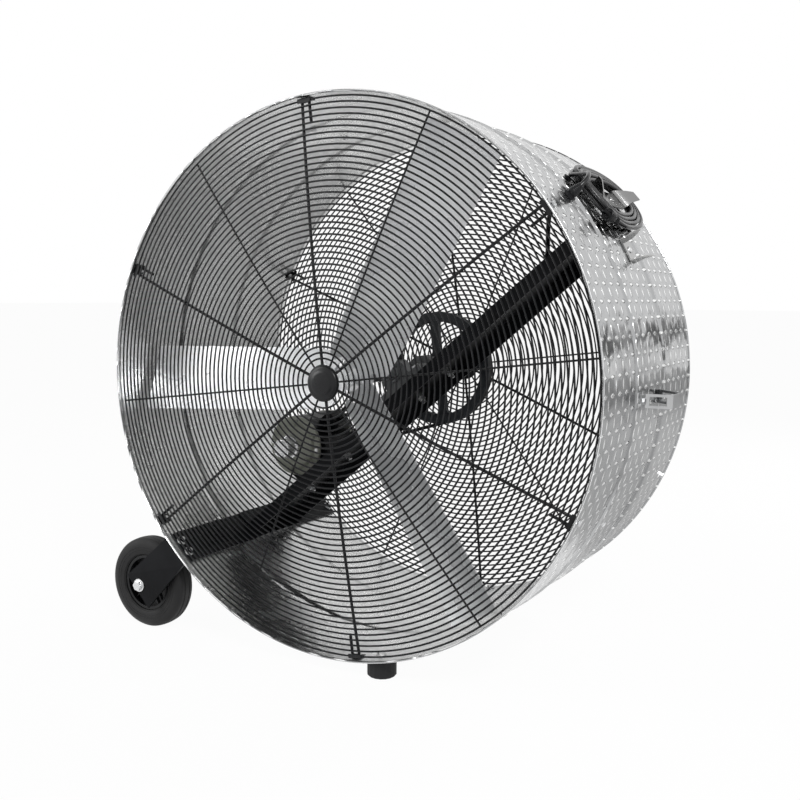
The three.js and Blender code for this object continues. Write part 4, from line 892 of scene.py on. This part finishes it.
def make_front_bell():
    """A cast end bell: a stepped dome with slots round its bearing boss."""
    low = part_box("motor_front_bell")[0].y / MM
    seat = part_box("motor_front_bell")[1].y / MM
    place = motor_frame()
    bm = bmesh.new()
    profile = rounded([(0, low + 36), (24, low + 36), (33, low + 43), (52, seat - 15), (55, seat - 9),
                       (68.5, seat - 7), (69.5, seat - 4), (69.5, seat), (0, seat)], 2.0)
    add_lathe(bm, profile, 96, place)
    for k in range(6):
        spin = place @ Matrix.Rotation(math.radians(60 * k + 15), 4, "Y")
        add_box(bm, (30, seat - 20, -1.6), (64, seat - 8, 1.6), spin, 0.8)
    make("motor_bell_casting", bm, "bell_enamel", nodes=["motor_front_bell"])
    bm = bmesh.new()
    profile = rounded([(0, low), (16, low), (18, low + 2.4), (21.5, low + 3), (21.5, low + 30),
                       (27, low + 32), (27, low + 37), (0, low + 37)], 1.0)
    add_lathe(bm, profile, 64, place)
    for k in range(4):
        spin = place @ Matrix.Rotation(math.radians(90 * k + 45), 4, "Y") @ Matrix.Translation((61, 0, 0))
        add_hex(bm, 4.6, seat - 11.5, seat - 7, spin)
    return make("motor_bell_bolts", bm, "zinc_steel")


make_front_bell()


# ---- cord cleats ----
def add_horn(bm, width, height, flare, lean, tip, matrix):
    """A bent tab: it rises along X, flares along Y and leans along Z to a narrow tip."""
    grid = []
    for i in range(13):
        t = i / 12
        rise = height * t
        out = flare * max(0, t - 0.25) ** 1.4
        half = lerp(width / 2, tip / 2, max(0, t - 0.3) / 0.7)
        grid.append([Vector((rise, out, lean * t ** 2 + half * (2 * j / 6 - 1))) for j in range(7)])
    add_sheet(bm, grid, 2.8, matrix)


def make_long_cleat():
    place = turned(41.5, 95)
    bm = bmesh.new()
    add_box(bm, (557.3, -75, -23), (560.3, 75, 23), place, 1.0)
    add_horn(bm, 46, 36, -14, 14, 9, place @ Matrix.Translation((557.5, -72, 0)))
    add_horn(bm, 46, 38, 34, -16, 22, place @ Matrix.Translation((557.5, 72, 0)))
    for y in (-37.5, 37.5):
        add_dome(bm, 7.5, 3.6, 0, against_x(place @ Matrix.Translation((560.2, y, 0))))
    return make("long_cleat_tab", bm, "grey_casting", nodes=["long_cord_cleat"], finish="cleat_steel")


def make_short_cleat():
    place = turned(28.1, 34) @ Matrix.Rotation(math.pi / 2, 4, "X")
    bm = bmesh.new()
    seat = 553.6
    add_box(bm, (seat, -25, -26), (seat + 3, 25, 26), place, 1.0)
    add_horn(bm, 52, 36, -9, -15, 6, place @ Matrix.Translation((seat + 0.2, -22, 0)))
    add_horn(bm, 52, 36, 9, -15, 6, place @ Matrix.Translation((seat + 0.2, 22, 0)))
    make("short_cleat_tab", bm, "grey_casting", nodes=["short_cord_cleat"], finish="cleat_steel")
    bm = bmesh.new()
    add_dome(bm, 7.5, 3.6, 0, against_x(place @ Matrix.Translation((seat + 3, 0, 0))))
    return make("short_cleat_screw", bm, "zinc_steel")


make_long_cleat()
make_short_cleat()


def make_grease_block():
    """The black cover that stands on the front bearing."""
    bm = bmesh.new()
    add_box(bm, (-13, -44, 608), (12, -18, 634), bevel=2)
    add_box(bm, (-16, -46, 628), (15, -16, 640), bevel=2)
    return make("bearing_cover", bm, "black_plastic")


make_grease_block()


# ---- carried-over solids ----
def dress(nodes, slot, bevel=0.0006):
    """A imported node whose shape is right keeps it: softer edges and its own finish."""
    for name in nodes:
        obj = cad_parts[name]
        obj.data.materials.clear()
        obj.data.materials.append(MATERIALS[slot])
        if bevel:
            flat = obj.modifiers.new("flat", "DECIMATE")
            flat.decimate_type = "DISSOLVE"
            flat.angle_limit = math.radians(1)
            soft = obj.modifiers.new("soft", "BEVEL")
            soft.width = bevel
            soft.segments = 2
            soft.limit_method = "ANGLE"
            soft.angle_limit = math.radians(40)


dress(["carry_handle"], "handle_steel")
dress(["wheel_strap", "bearing_channel", "motor_housing", "terminal_box_cover", "motor_base",
       "front_wheel_bracket", "rear_wheel_bracket"], "black_paint")
dress(["fan_pulley", "motor_pulley"], "grey_casting")
dress(["front_bearing", "rear_bearing"], "bearing_grey")
dress(["fan_hub"], "satin_aluminium")
dress([*[f"bearing_bolt_{i}" for i in range(1, 5)], "motor_bolt_1", "motor_bolt_2", "front_foot_bolt",
       "rear_foot_bolt"], "zinc_steel")
dress(["fan_shaft", "motor_shaft"], "bright_steel")
dress(["motor_rear_bell"], "bell_enamel")
dress(["front_foot", "rear_foot", "v_belt"], "black_rubber")

bpy.context.scene.view_settings.view_transform = "Standard"
